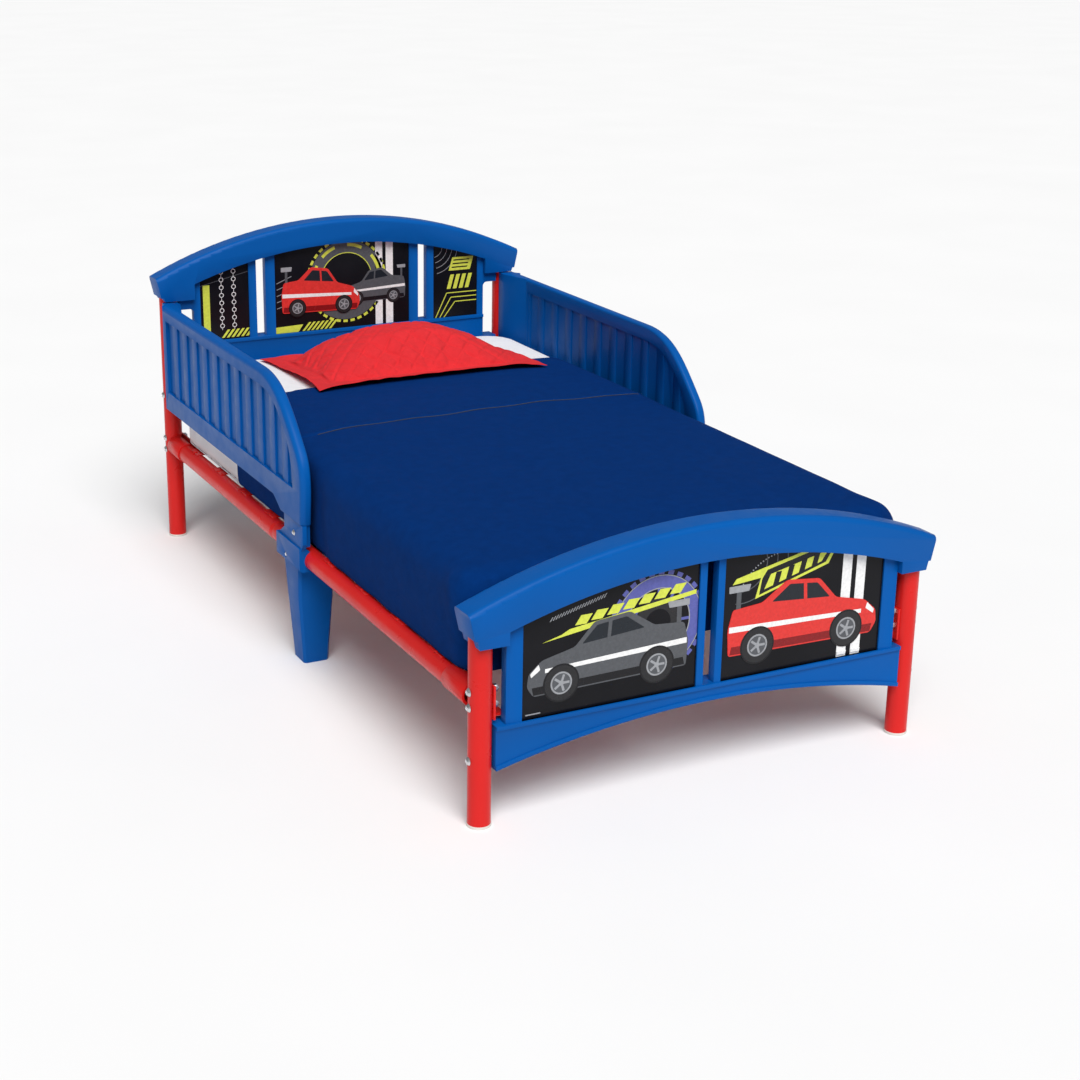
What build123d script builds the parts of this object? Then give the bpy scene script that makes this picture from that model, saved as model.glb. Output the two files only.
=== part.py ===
from build123d import *
import os
from collections import namedtuple
from math import sqrt

# Toddler bed. Millimetres, +Z up, head end at +Y, foot end at -Y, left side at -X.
# The origin is on the floor, in the middle of the bed.

os.makedirs("parts", exist_ok=True)

# ---- Overall sizes ----
bed_length = 1350.0
bed_width = 740.0
head_height = 585.0
foot_height = 381.0

# ---- Posts and foot caps ----
tube_r = 16.0
tube_wall = 1.5
top_rail_depth = 48.0
post_inset_x = 27.0
post_x = bed_width / 2 - post_inset_x
post_y = bed_length / 2 - top_rail_depth / 2
board_inner_y = bed_length / 2 - top_rail_depth
tube_inner_r = tube_r - tube_wall
cap_flange_r = 16.8
cap_flange_t = 4.0
cap_flange_round = 1.2
cap_plug_length = 22.0
cap_plug_wall = 3.0
cap_plug_chamfer = 0.8
plug_clearance = 0.1

# ---- Top rails of the two boards ----
head_tip_z = head_height - 85.0
foot_tip_z = foot_height - 72.0
tip_drop = 36.0
tip_slant = 8.0
tip_step = 4.0
tip_heel = 15.0
head_socket_z = head_height - 128.0
foot_socket_z = foot_height - 121.0
head_under_z = head_height - 45.0
foot_under_z = foot_height - 52.0
top_edge_round = 8.0
socket_depth = 24.0
socket_clearance = 0.15
post_end_gap = 2.0
tenon_length = 10.0
tenon_clearance = 0.2

# ---- Board frames ----
stile_depth = 14.0
lower_rail_depth = 30.0
lower_rail_gap = 0.4
bead_height = 6.0
bead_depth = 2.5
panel_t = 5.0
panel_recess = 3.0
panel_bite = 3.3
panel_clearance = 0.2

head_window_z = 374.0
head_rail_z = 262.0
head_rail_arch = 38.0
head_centre_half = 138.0
head_slot_inner = 157.0
head_slot_outer = 175.0
head_side_inner = 190.0
head_side_outer = post_x - 58.0
head_stile_outer = post_x - 45.0
head_web_z = head_socket_z - 19.0
head_web_round = 8.0
head_gap_z = 330.0

foot_window_z = 145.0
foot_rail_z = 82.0
foot_rail_arch = 39.0
foot_slot_half = 9.0
foot_side_inner = 20.0
foot_side_outer = post_x - 55.0
foot_stile_outer = post_x - 31.0

# ---- Side rails and their brackets ----
side_rail_z = 182.0
post_gap = 0.3
side_rail_end = post_y - tube_r - post_gap
joint_y = 70.0
joint_neck = 14.0
swage_slope = 8.0
swage_overlap = 110.0
swage_clearance = 0.15
sleeve_length = 64.0
sleeve_r = 18.0
sleeve_clearance = 0.05
plate_t = 3.0
plate_z0 = side_rail_z - 30.0
plate_z1 = side_rail_z + 17.0
plate_past_post = 9.0
plate_length = 97.0
plate_flange_reach = 22.0
plate_flange_length = 28.0
plate_flange_inset = 2.0

# ---- Slats ----
slat_count = 9
slat_pitch = 130.0
slat_width = 44.0
slat_t = 1.5
slat_lip = 10.0
slat_end_past_tube = 3.0
slat_lip_inset = 22.0

# ---- Middle legs ----
leg_bore_clearance = 0.2
leg_foot_outer = post_x + 11.0
leg_foot_inner = post_x - 31.0
leg_knee_z = 110.0
leg_shank_outer = post_x + 19.0
leg_shank_inner = post_x - 39.0
saddle_outer = post_x + 25.0
saddle_z0 = side_rail_z - 18.0
saddle_z1 = side_rail_z + 22.0
tongue_outer = post_x + 22.0
tongue_inner = post_x + 15.0
tongue_z = side_rail_z + 61.0
cradle_lip_x = post_x + 9.0
cradle_lip_z = side_rail_z + 17.0
leg_inner_top_z = side_rail_z + 6.0
leg_foot_y = (-43.5, 1.5)
leg_knee_y = (-48.0, 6.0)
leg_neck_y = (-50.0, 23.0)
saddle_y = (-68.0, 34.0)
tongue_y = (-76.0, 4.0)
leg_edge_chamfer = 4.0
tongue_shoulder_z = (side_rail_z + 30.0, side_rail_z + 38.0)

# ---- Guard rails ----
guard_outer = post_x + 24.0
guard_inner = post_x + 6.0
guard_top_z = 455.0
guard_bottom_z = side_rail_z + 80.0
guard_toe_z = tongue_z + 1.0
guard_front = ((112.0, guard_top_z), (22.0, 433.0), (-50.0, 371.0), (-80.0, 296.0))
guard_toe_y = (-76.0, 14.0)
guard_toe_heel_y = 46.0
guard_web_t = 7.0
guard_field_z0 = 296.0
guard_field_z1 = 430.0
guard_field_front = ((118.0, guard_field_z1), (30.0, 413.0), (-22.0, 366.0), (-42.0, guard_field_z0))
guard_slab_head_y = post_y - 41.0
guard_field_head_y = guard_slab_head_y - 18.0
guard_flare_y = guard_slab_head_y - 60.0
guard_inner_field_head_y = guard_flare_y - 6.0
guard_rib_count = 10
guard_rib_pitch = 55.0
guard_rib_width = 24.0
guard_rib_t = 3.0
guard_first_rib_y = guard_field_head_y - 47.0
guard_inner_field_t = 2.5
guard_inner_rib_t = 1.4
guard_rim_round = 9.0
guard_inner_round = 5.0
guard_block_inner = post_x - 11.0
guard_block_outer = post_x + 16.0
guard_block_slope = 12.0
guard_tab_inner = post_x + 8.0
guard_tab_z = saddle_z1 + 3.0
guard_tab_y = (-72.0, 0.0)

# ---- Fasteners ----
bolt_r = 3.0
bolt_hole_r = 3.3
pilot_gap = 0.05
bolt_head_r = 6.0
bolt_head_h = 3.6
hex_socket_r = 2.3
hex_socket_depth = 2.0
nut_r = 5.6
nut_h = 5.0
nut_gap = 0.1
bolt_past_nut = 2.0
rail_bolt_zs = (side_rail_z + 12.0, side_rail_z - 10.0)
foot_board_bolt_z = 96.0
head_board_bolt_z = 277.0
board_bolt_bite = 25.0
guard_bolt_zs = (300.0, 420.0)
guard_bolt_bite = 18.0
rivet_r = 2.0
rivet_head_r = 4.5
rivet_head_h = 1.6
rivet_bite = 4.5
leg_screw_r = 2.2
leg_screw_head_r = 4.8
leg_screw_head_h = 2.5
leg_screw_at = (-6.0, side_rail_z - 6.0)
leg_screw_length = 26.0
tongue_screw_at = (-38.0, side_rail_z + 40.0)
tongue_screw_length = 12.5

# ---- Bedding ----
slat_top_z = side_rail_z + tube_r + slat_t
mattress_z = slat_top_z + 0.5
mattress_height = 135.0
mattress_half_width = post_x - 8.0
mattress_foot_y = 14.0 - board_inner_y
mattress_head_y = board_inner_y - 3.0
mattress_corner_r = 62.0
mattress_edge_r = 18.0
sheet_gap = 0.3
sheet_t = 1.5
sheet_hem_z = mattress_z + 1.0
coverlet_gap = 0.8
coverlet_t = 6.0
coverlet_top_t = 12.0
coverlet_corner_r = 30.0
coverlet_hem_z = mattress_z + 3.0
coverlet_head_y = mattress_head_y - 259.0
coverlet_side_y = mattress_head_y - 324.0
coverlet_side_z = (coverlet_hem_z + 59.0, coverlet_hem_z + 122.0)
pillow_gap = 0.5
pillow_length = 446.0
pillow_depth = 300.0
pillow_x = 35.0
pillow_y = mattress_head_y - 183.0
pillow_corner_r = 18.0
pillow_border = 30.0
pillow_border_t = 8.0
pillow_rise = 50.0
pillow_taper = 45.0

Board = namedtuple(
    "Board",
    "post_y crown_z tip_z under_z socket_z window_z rail_z rail_arch stile_outer stiles windows",
)

head_board = Board(
    post_y,
    head_height,
    head_tip_z,
    head_under_z,
    head_socket_z,
    head_window_z,
    head_rail_z,
    head_rail_arch,
    head_stile_outer,
    (
        (-head_stile_outer, -head_side_outer),
        (-head_side_inner, -head_slot_outer),
        (-head_slot_inner, -head_centre_half),
        (head_centre_half, head_slot_inner),
        (head_slot_outer, head_side_inner),
        (head_side_outer, head_stile_outer),
    ),
    {
        "left": (-head_side_outer, -head_side_inner),
        "centre": (-head_centre_half, head_centre_half),
        "right": (head_side_inner, head_side_outer),
    },
)
foot_board = Board(
    -post_y,
    foot_height,
    foot_tip_z,
    foot_under_z,
    foot_socket_z,
    foot_window_z,
    foot_rail_z,
    foot_rail_arch,
    foot_stile_outer,
    (
        (-foot_stile_outer, -foot_side_outer),
        (-foot_side_inner, -foot_slot_half),
        (foot_slot_half, foot_side_inner),
        (foot_side_outer, foot_stile_outer),
    ),
    {
        "left": (-foot_side_outer, -foot_side_inner),
        "right": (foot_side_inner, foot_side_outer),
    },
)


def save(piece, label):
    """Name a finished piece and write it to its own file."""
    piece.part.label = label
    export_step(piece.part, f"parts/{label}.step")


def mirrored(piece):
    """The same piece for the other side of the bed."""
    with BuildPart() as other:
        mirror(piece.part, about=Plane.YZ)
    return other


# ---------------------------------------------------------------- boards
def under_z(board, x):
    """Height of the top rail's arched underside at x."""
    rise = board.crown_z - board.tip_z
    half = bed_width / 2
    radius = (half**2 + rise**2) / (2 * rise)
    return board.under_z - radius + sqrt(radius**2 - x**2)


def tenon_base(board, x0, x1):
    """Where the lower shoulder of a stile meets the underside."""
    return min(under_z(board, x0), under_z(board, x1))


def panel_outline(board, x0, x1, bite, top_z=None):
    """Outline of a panel that reaches bite past its window all round, or straight up to top_z."""
    left = x0 - bite
    right = x1 + bite
    low = board.window_z - bite
    with BuildLine() as outline:
        if top_z is None:
            left_z = under_z(board, left) + bite
            right_z = under_z(board, right) + bite
            middle = (left + right) / 2
            ThreePointArc((left, left_z), (middle, under_z(board, middle) + bite), (right, right_z))
        else:
            left_z = top_z
            right_z = top_z
            Line((left, left_z), (right, right_z))
        Polyline((right, right_z), (right, low), (left, low), (left, left_z))
    make_face(outline.edges())


def stile_y(board):
    """The stiles stand with their back faces on the posts' centre line."""
    return board.post_y - stile_depth / 2


def panel_y(board):
    return board.post_y - stile_depth + panel_recess + panel_t / 2


def make_top_rail(board):
    """An arched rail that caps both posts, the stiles and the panels."""
    half = bed_width / 2
    step_z = board.tip_z - tip_drop
    corner_z = under_z(board, board.stile_outer)
    with BuildPart() as rail:
        with BuildSketch(Plane.XZ.offset(-board.post_y)):
            with BuildLine():
                ThreePointArc((-half, board.tip_z), (0, board.crown_z), (half, board.tip_z))
                ThreePointArc(
                    (-board.stile_outer, corner_z),
                    (0, board.under_z),
                    (board.stile_outer, corner_z),
                )
                for side in (-1, 1):
                    Polyline(
                        (side * half, board.tip_z),
                        (side * (half - tip_slant), step_z),
                        (side * (half - tip_slant - tip_step), step_z),
                        (side * (half - tip_heel), board.socket_z),
                        (side * board.stile_outer, board.socket_z),
                        (side * board.stile_outer, corner_z),
                    )
            make_face()
        extrude(amount=top_rail_depth / 2, both=True)
        rims = rail.edges().filter_by(GeomType.CIRCLE).sort_by(Axis.Z)[-2:]
        fillet(rims, radius=top_edge_round)
        with BuildSketch(Plane.XY.offset(board.socket_z)):
            with Locations((-post_x, board.post_y), (post_x, board.post_y)):
                Circle(tube_r + socket_clearance)
        extrude(amount=socket_depth, mode=Mode.SUBTRACT)
        for x0, x1 in board.stiles:
            with BuildSketch(Plane.XY.offset(board.socket_z)):
                with Locations(((x0 + x1) / 2, stile_y(board))):
                    Rectangle(x1 - x0 + 2 * tenon_clearance, stile_depth + 2 * tenon_clearance)
            top_z = tenon_base(board, x0, x1) + tenon_length + tenon_clearance
            extrude(amount=top_z - board.socket_z, mode=Mode.SUBTRACT)
        for x0, x1 in board.windows.values():
            with BuildSketch(Plane.XZ.offset(-panel_y(board))):
                panel_outline(board, x0, x1, panel_bite + panel_clearance)
            extrude(amount=panel_t / 2 + panel_clearance, both=True, mode=Mode.SUBTRACT)
    return rail


def make_board_frame(board, with_webs):
    """A comb: the lower rail and the stiles, grooved for the panels, with tenons at the top."""
    rail_end = post_x - tube_r - lower_rail_gap
    front_y = board.post_y - lower_rail_depth / 2
    with BuildPart() as frame:
        with BuildSketch(Plane.XZ.offset(-board.post_y)):
            lower_rail_outline(board, rail_end)
        extrude(amount=lower_rail_depth / 2, both=True)
        with BuildSketch(Plane.XZ.offset(-front_y)):
            lower_rail_outline(board, rail_end)
            lower_rail_outline(board, rail_end, bead_height, bead_height, Mode.SUBTRACT)
        extrude(amount=bead_depth)
        for x0, x1 in board.stiles:
            with BuildSketch(Plane.XY.offset(board.window_z)):
                with Locations(((x0 + x1) / 2, stile_y(board))):
                    Rectangle(x1 - x0, stile_depth)
            extrude(amount=tenon_base(board, x0, x1) + tenon_length - board.window_z)
        if with_webs:
            for side in (-1, 1):
                web_width = rail_end - board.stile_outer
                with BuildSketch(Plane.XY.offset(head_web_z)):
                    with Locations((side * (board.stile_outer + web_width / 2), stile_y(board))):
                        Rectangle(web_width, stile_depth)
                extrude(amount=board.socket_z - tenon_clearance - head_web_z)
                with BuildSketch(Plane.XY.offset(head_gap_z)):
                    with Locations((side * (board.stile_outer + web_width / 2), board.post_y)):
                        Rectangle(web_width, 2 * lower_rail_depth)
                extrude(amount=board.window_z - head_gap_z, mode=Mode.SUBTRACT)
            corners = frame.edges().filter_by(Axis.Y)
            corners = corners.filter_by_position(Axis.Z, head_web_z - nut_gap, head_web_z + nut_gap)
            fillet(
                corners.filter_by_position(Axis.X, -board.stile_outer - nut_gap, board.stile_outer + nut_gap),
                radius=head_web_round,
            )
        for x0, x1 in board.windows.values():
            with BuildSketch(Plane.XZ.offset(-panel_y(board))):
                panel_outline(board, x0, x1, panel_bite + panel_clearance, board.crown_z)
            extrude(amount=panel_t / 2 + panel_clearance, both=True, mode=Mode.SUBTRACT)
        bolt_z = head_board_bolt_z if with_webs else foot_board_bolt_z
        for side in (-1, 1):
            with BuildSketch(Plane.YZ.offset(side * rail_end)):
                with Locations((board.post_y, bolt_z)):
                    Circle(bolt_r + pilot_gap)
            extrude(amount=-side * (board_bolt_bite + bolt_past_nut), mode=Mode.SUBTRACT)
    return frame


def lower_rail_outline(board, rail_end, low_inset=0.0, high_inset=0.0, mode=Mode.ADD):
    """The lower rail seen from the foot: straight on top, arched below."""
    low = board.rail_z + low_inset
    high = board.window_z - high_inset
    with BuildLine() as outline:
        ThreePointArc((-rail_end, low), (0, low + board.rail_arch), (rail_end, low))
        Polyline((rail_end, low), (rail_end, high), (-rail_end, high), (-rail_end, low))
    make_face(outline.edges(), mode=mode)


def make_panel(board, x0, x1):
    """A printed board that stands in the grooves round its window."""
    with BuildPart() as panel:
        with BuildSketch(Plane.XZ.offset(-panel_y(board))):
            panel_outline(board, x0, x1, panel_bite)
        extrude(amount=panel_t / 2, both=True)
    return panel


save(make_top_rail(head_board), "headboard_top_rail")
save(make_top_rail(foot_board), "footboard_top_rail")
save(make_board_frame(head_board, True), "headboard_frame")
save(make_board_frame(foot_board, False), "footboard_frame")
for window_name, (x0, x1) in head_board.windows.items():
    save(make_panel(head_board, x0, x1), f"headboard_panel_{window_name}")
for window_name, (x0, x1) in foot_board.windows.items():
    save(make_panel(foot_board, x0, x1), f"footboard_panel_{window_name}")


# ---------------------------------------------------------------- posts
def make_post(side, board, board_bolt_z, guard_zs):
    """A steel tube post, drilled across for the bolts that hold boards, rails and guard."""
    top_z = board.socket_z + socket_depth - post_end_gap
    with BuildPart() as post:
        with BuildSketch(Plane.XY.offset(cap_flange_t)):
            with Locations((side * post_x, board.post_y)):
                Circle(tube_r)
                Circle(tube_inner_r, mode=Mode.SUBTRACT)
        extrude(amount=top_z - cap_flange_t)
        with BuildSketch(Plane.YZ.offset(side * post_x)):
            for bolt_z in (*rail_bolt_zs, board_bolt_z):
                with Locations((board.post_y, bolt_z)):
                    Circle(bolt_hole_r)
        extrude(amount=2 * tube_r, both=True, mode=Mode.SUBTRACT)
        if guard_zs:
            with BuildSketch(Plane.XZ.offset(-board.post_y)):
                for bolt_z in guard_zs:
                    with Locations((side * post_x, bolt_z)):
                        Circle(bolt_hole_r)
            extrude(amount=2 * tube_r, both=True, mode=Mode.SUBTRACT)
    return post


def make_foot_cap(side, board):
    """A plastic cap: a flange on the floor and a hollow plug inside the post."""
    plug_r = tube_inner_r - plug_clearance
    with BuildPart() as cap:
        with BuildSketch(Plane.XY):
            with Locations((side * post_x, board.post_y)):
                Circle(cap_flange_r)
        extrude(amount=cap_flange_t)
        fillet(cap.faces().sort_by(Axis.Z)[0].edges(), radius=cap_flange_round)
        with BuildSketch(Plane.XY.offset(cap_flange_t)):
            with Locations((side * post_x, board.post_y)):
                Circle(plug_r)
                Circle(plug_r - cap_plug_wall, mode=Mode.SUBTRACT)
        extrude(amount=cap_plug_length)
        chamfer(cap.faces().sort_by(Axis.Z)[-1].edges(), length=cap_plug_chamfer)
    return cap


for side_name, side in (("left", -1), ("right", 1)):
    save(make_post(side, head_board, head_board_bolt_z, guard_bolt_zs), f"post_head_{side_name}")
    save(make_post(side, foot_board, foot_board_bolt_z, ()), f"post_foot_{side_name}")
    save(make_foot_cap(side, head_board), f"foot_cap_head_{side_name}")
    save(make_foot_cap(side, foot_board), f"foot_cap_foot_{side_name}")


# ---------------------------------------------------------------- side rails
slat_ys = [(i - (slat_count - 1) / 2) * slat_pitch for i in range(slat_count)]
rail_centre = (-post_x, 0, side_rail_z)
neck_r = tube_inner_r - swage_clearance


def drill_rail(rail_y0, rail_y1):
    """Rivet holes in the top wall, one under each slat between two ends of a rail."""
    with BuildSketch(Plane.XY.offset(side_rail_z)) as holes:
        for y in slat_ys:
            if rail_y0 < y < rail_y1:
                with Locations((-post_x, y)):
                    Circle(rivet_r + nut_gap)
    extrude(holes.sketch, amount=2 * tube_r, mode=Mode.SUBTRACT)


def drill_joint_screw():
    """The hole of the screw that goes through middle leg and rail joint."""
    with BuildSketch(Plane.YZ.offset(-saddle_outer)) as hole:
        with Locations(leg_screw_at):
            Circle(leg_screw_r + nut_gap)
    extrude(hole.sketch, amount=leg_screw_length + leg_screw_head_h, mode=Mode.SUBTRACT)


with BuildPart() as side_rail_left_foot:
    with BuildSketch(Plane.XZ.offset(side_rail_end)):
        with Locations((-post_x, side_rail_z)):
            Circle(tube_r)
            Circle(tube_inner_r, mode=Mode.SUBTRACT)
    extrude(amount=-(side_rail_end + joint_y))
    drill_rail(-side_rail_end, joint_y)
    drill_joint_screw()

shoulder_y = joint_y + joint_neck
swage_y = shoulder_y + swage_slope
neck_end_y = joint_y - swage_overlap
with BuildPart() as side_rail_left_head:
    with BuildSketch(Plane.YZ.offset(-post_x)):
        with BuildLine():
            Polyline(
                (side_rail_end, side_rail_z + tube_inner_r),
                (side_rail_end, side_rail_z + tube_r),
                (swage_y, side_rail_z + tube_r),
                (shoulder_y, side_rail_z + neck_r),
                (neck_end_y, side_rail_z + neck_r),
                (neck_end_y, side_rail_z + neck_r - tube_wall),
                (shoulder_y, side_rail_z + neck_r - tube_wall),
                (swage_y, side_rail_z + tube_inner_r),
                (side_rail_end, side_rail_z + tube_inner_r),
            )
        make_face()
    revolve(axis=Axis(rail_centre, (0, 1, 0)))
    drill_rail(neck_end_y, side_rail_end)
    drill_joint_screw()

save(side_rail_left_foot, "side_rail_foot_left")
save(side_rail_left_head, "side_rail_head_left")
save(mirrored(side_rail_left_foot), "side_rail_foot_right")
save(mirrored(side_rail_left_head), "side_rail_head_right")


def make_rail_bracket(end):
    """A sleeve on the end of a left side rail, with a plate bolted to the post's inner side."""
    plate_x = tube_r - post_x
    plate_end_y = post_y + plate_past_post
    with BuildPart() as bracket:
        with BuildSketch(Plane.XZ.offset(-end * (side_rail_end - sleeve_length / 2))):
            with Locations((-post_x, side_rail_z)):
                Circle(sleeve_r)
        extrude(amount=sleeve_length / 2, both=True)
        with BuildSketch(Plane.YZ.offset(plate_x)):
            with Locations((end * (plate_end_y - plate_length / 2), (plate_z0 + plate_z1) / 2)):
                Rectangle(plate_length, plate_z1 - plate_z0)
        extrude(amount=plate_t)
        with BuildSketch(Plane.XY.offset(plate_z0)):
            flange_y = post_y - plate_flange_inset - plate_flange_length / 2
            with Locations((plate_x + plate_flange_reach / 2, end * flange_y)):
                Rectangle(plate_flange_reach, plate_flange_length)
        extrude(amount=plate_t)
        with BuildSketch(Plane.XZ.offset(-end * side_rail_end)):
            with Locations((-post_x, side_rail_z)):
                Circle(tube_r + sleeve_clearance)
        extrude(amount=2 * plate_length, both=True, mode=Mode.SUBTRACT)
        with BuildSketch(Plane.YZ.offset(plate_x)):
            for bolt_z in rail_bolt_zs:
                with Locations((end * post_y, bolt_z)):
                    Circle(bolt_hole_r)
        extrude(amount=plate_t, mode=Mode.SUBTRACT)
    return bracket


for end_name, end in (("head", 1), ("foot", -1)):
    rail_bracket = make_rail_bracket(end)
    save(rail_bracket, f"rail_bracket_{end_name}_left")
    save(mirrored(rail_bracket), f"rail_bracket_{end_name}_right")


# ---------------------------------------------------------------- slats
def make_slat(y):
    """A pressed steel slat with a lip down each long edge, riveted on top of both side rails."""
    slat_z = side_rail_z + tube_r
    reach = post_x + slat_end_past_tube
    lip_reach = post_x - slat_lip_inset
    with BuildPart() as slat:
        with BuildSketch(Plane.XY.offset(slat_z)):
            with Locations((0, y)):
                Rectangle(2 * reach, slat_width)
            with Locations((-post_x, y), (post_x, y)):
                Circle(rivet_r + nut_gap, mode=Mode.SUBTRACT)
        extrude(amount=slat_t)
        lip_offset = (slat_width - slat_t) / 2
        with BuildSketch(Plane.XY.offset(slat_z)):
            with Locations((0, y - lip_offset), (0, y + lip_offset)):
                Rectangle(2 * lip_reach, slat_t)
        extrude(amount=slat_t - slat_lip)
    return slat


for i, y in enumerate(slat_ys):
    save(make_slat(y), f"slat_{i + 1}")


# ---------------------------------------------------------------- middle legs
shank_sections = (
    (0, leg_foot_outer, leg_foot_inner, leg_foot_y),
    (leg_knee_z, leg_shank_outer, leg_shank_inner, leg_knee_y),
    (leg_inner_top_z, leg_shank_outer, leg_shank_inner, leg_neck_y),
)

with BuildPart() as middle_leg_left:
    for z, outer, inner, (y0, y1) in shank_sections:
        with BuildSketch(Plane.XY.offset(z)) as section:
            with Locations((-(outer + inner) / 2, (y0 + y1) / 2)):
                Rectangle(outer - inner, y1 - y0)
            chamfer(section.vertices(), length=leg_edge_chamfer)
    loft(ruled=True)
    with BuildSketch(Plane.XZ.offset(-saddle_y[1])):
        with BuildLine():
            Polyline(
                (-saddle_outer, saddle_z0 + leg_edge_chamfer),
                (-saddle_outer, saddle_z1),
                (-tongue_inner, saddle_z1),
                (-cradle_lip_x, cradle_lip_z),
                (-post_x, leg_inner_top_z),
                (-leg_shank_inner, leg_inner_top_z),
                (-leg_shank_inner, saddle_z0),
                (leg_edge_chamfer - saddle_outer, saddle_z0),
                (-saddle_outer, saddle_z0 + leg_edge_chamfer),
            )
        make_face()
    extrude(amount=saddle_y[1] - saddle_y[0])
    with BuildSketch(Plane.YZ.offset(-tongue_outer)):
        with BuildLine():
            Polyline(
                (saddle_y[0], saddle_z1 - leg_edge_chamfer),
                (saddle_y[1], saddle_z1 - leg_edge_chamfer),
                (tongue_y[1], tongue_shoulder_z[1]),
                (tongue_y[1], tongue_z),
                (tongue_y[0], tongue_z),
                (tongue_y[0], tongue_shoulder_z[0]),
                (saddle_y[0], saddle_z1 - leg_edge_chamfer),
            )
        make_face()
    extrude(amount=tongue_outer - tongue_inner)
    with BuildSketch(Plane.XZ):
        with Locations((-post_x, side_rail_z)):
            Circle(tube_r + leg_bore_clearance)
    extrude(amount=post_x, both=True, mode=Mode.SUBTRACT)
    drill_joint_screw()
    with BuildSketch(Plane.YZ.offset(-saddle_outer)):
        with Locations(leg_screw_at):
            Circle(leg_screw_head_r + nut_gap)
    extrude(amount=leg_screw_head_h, mode=Mode.SUBTRACT)
    with BuildSketch(Plane.YZ.offset(-tongue_outer)):
        with Locations(tongue_screw_at):
            Circle(leg_screw_r + nut_gap)
    extrude(amount=tongue_outer - tongue_inner, mode=Mode.SUBTRACT)

save(middle_leg_left, "middle_leg_left")
save(mirrored(middle_leg_left), "middle_leg_right")


# ---------------------------------------------------------------- guard rails
def guard_edge():
    """The guard seen from the side: a level top, a long curve down in front, a low toe."""
    with BuildLine() as outline:
        Line((guard_slab_head_y, guard_top_z), guard_front[0])
        Spline(*guard_front, tangents=[(-1, 0), (0, -1)])
        Polyline(
            guard_front[-1],
            (guard_toe_y[0], guard_toe_z),
            (guard_toe_y[1], guard_toe_z),
            (guard_toe_heel_y, guard_bottom_z),
            (guard_slab_head_y, guard_bottom_z),
            (guard_slab_head_y, guard_top_z),
        )
    make_face(outline.edges())


def guard_field(head_y):
    """The sunk field inside the guard's rim, up to head_y."""
    with BuildLine() as outline:
        Line((head_y, guard_field_z1), guard_field_front[0])
        Spline(*guard_field_front, tangents=[(-1, 0), (-0.1, -1)])
        Polyline(
            guard_field_front[-1],
            (head_y, guard_field_z0),
            (head_y, guard_field_z1),
        )
    make_face(outline.edges())


guard_t = guard_outer - guard_inner
field_depth = (guard_t - guard_web_t) / 2
guard_faces = (
    (-guard_outer, 1, field_depth, guard_rib_t, guard_field_head_y),
    (-guard_inner, -1, guard_inner_field_t, guard_inner_rib_t, guard_inner_field_head_y),
)
with BuildPart() as guard_rail_left:
    with BuildSketch(Plane.YZ.offset(-guard_outer)):
        guard_edge()
    extrude(amount=guard_t)
    for side_group, radius in ((0, guard_rim_round), (-1, guard_inner_round)):
        edges = guard_rail_left.edges().filter_by(Plane.YZ).group_by(Axis.X)[side_group]
        rim = edges.filter_by_position(Axis.Z, guard_bottom_z, guard_top_z, inclusive=(False, True))
        fillet(rim.filter_by_position(Axis.Y, -bed_length, guard_field_head_y), radius=radius)
    with BuildSketch(Plane.XY.offset(guard_bottom_z)):
        with BuildLine():
            Polyline(
                (-guard_outer, guard_slab_head_y),
                (-guard_block_outer, guard_slab_head_y + guard_block_slope),
                (-guard_block_outer, side_rail_end),
                (-guard_block_inner, side_rail_end),
                (-guard_block_inner, guard_slab_head_y),
                (-guard_inner, guard_flare_y),
                (guard_rim_round - guard_outer, guard_flare_y),
                (guard_rim_round - guard_outer, guard_slab_head_y),
                (-guard_outer, guard_slab_head_y),
            )
        make_face()
    extrude(amount=guard_top_z - guard_bottom_z)
    for face_x, inward, depth, rib_t, head_y in guard_faces:
        with BuildSketch(Plane.YZ.offset(face_x)):
            guard_field(head_y)
        extrude(amount=inward * depth, mode=Mode.SUBTRACT)
        with BuildSketch(Plane.YZ.offset(face_x + inward * depth)):
            guard_field(head_y)
            with Locations(*[
                (guard_first_rib_y - i * guard_rib_pitch, (guard_field_z0 + guard_field_z1) / 2)
                for i in range(guard_rib_count + 1)
            ]):
                Rectangle(guard_rib_width, guard_top_z - guard_bottom_z, mode=Mode.INTERSECT)
        extrude(amount=-inward * rib_t)
    with BuildSketch(Plane.YZ.offset(-tongue_inner + leg_bore_clearance)):
        with Locations(((guard_tab_y[0] + guard_tab_y[1]) / 2, (guard_tab_z + guard_field_z0) / 2)):
            Rectangle(guard_tab_y[1] - guard_tab_y[0], guard_field_z0 - guard_tab_z)
    extrude(amount=tongue_inner - leg_bore_clearance - guard_tab_inner)
    with BuildSketch(Plane.YZ.offset(-tongue_inner)):
        with Locations(tongue_screw_at):
            Circle(leg_screw_r + pilot_gap)
    extrude(amount=tongue_inner - guard_tab_inner, mode=Mode.SUBTRACT)
    with BuildSketch(Plane.XZ.offset(-side_rail_end)):
        for bolt_z in guard_bolt_zs:
            with Locations((-post_x, bolt_z)):
                Circle(bolt_r + pilot_gap)
    extrude(amount=guard_bolt_bite + bolt_past_nut, mode=Mode.SUBTRACT)

save(guard_rail_left, "guard_rail_left")
save(mirrored(guard_rail_left), "guard_rail_right")


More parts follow.
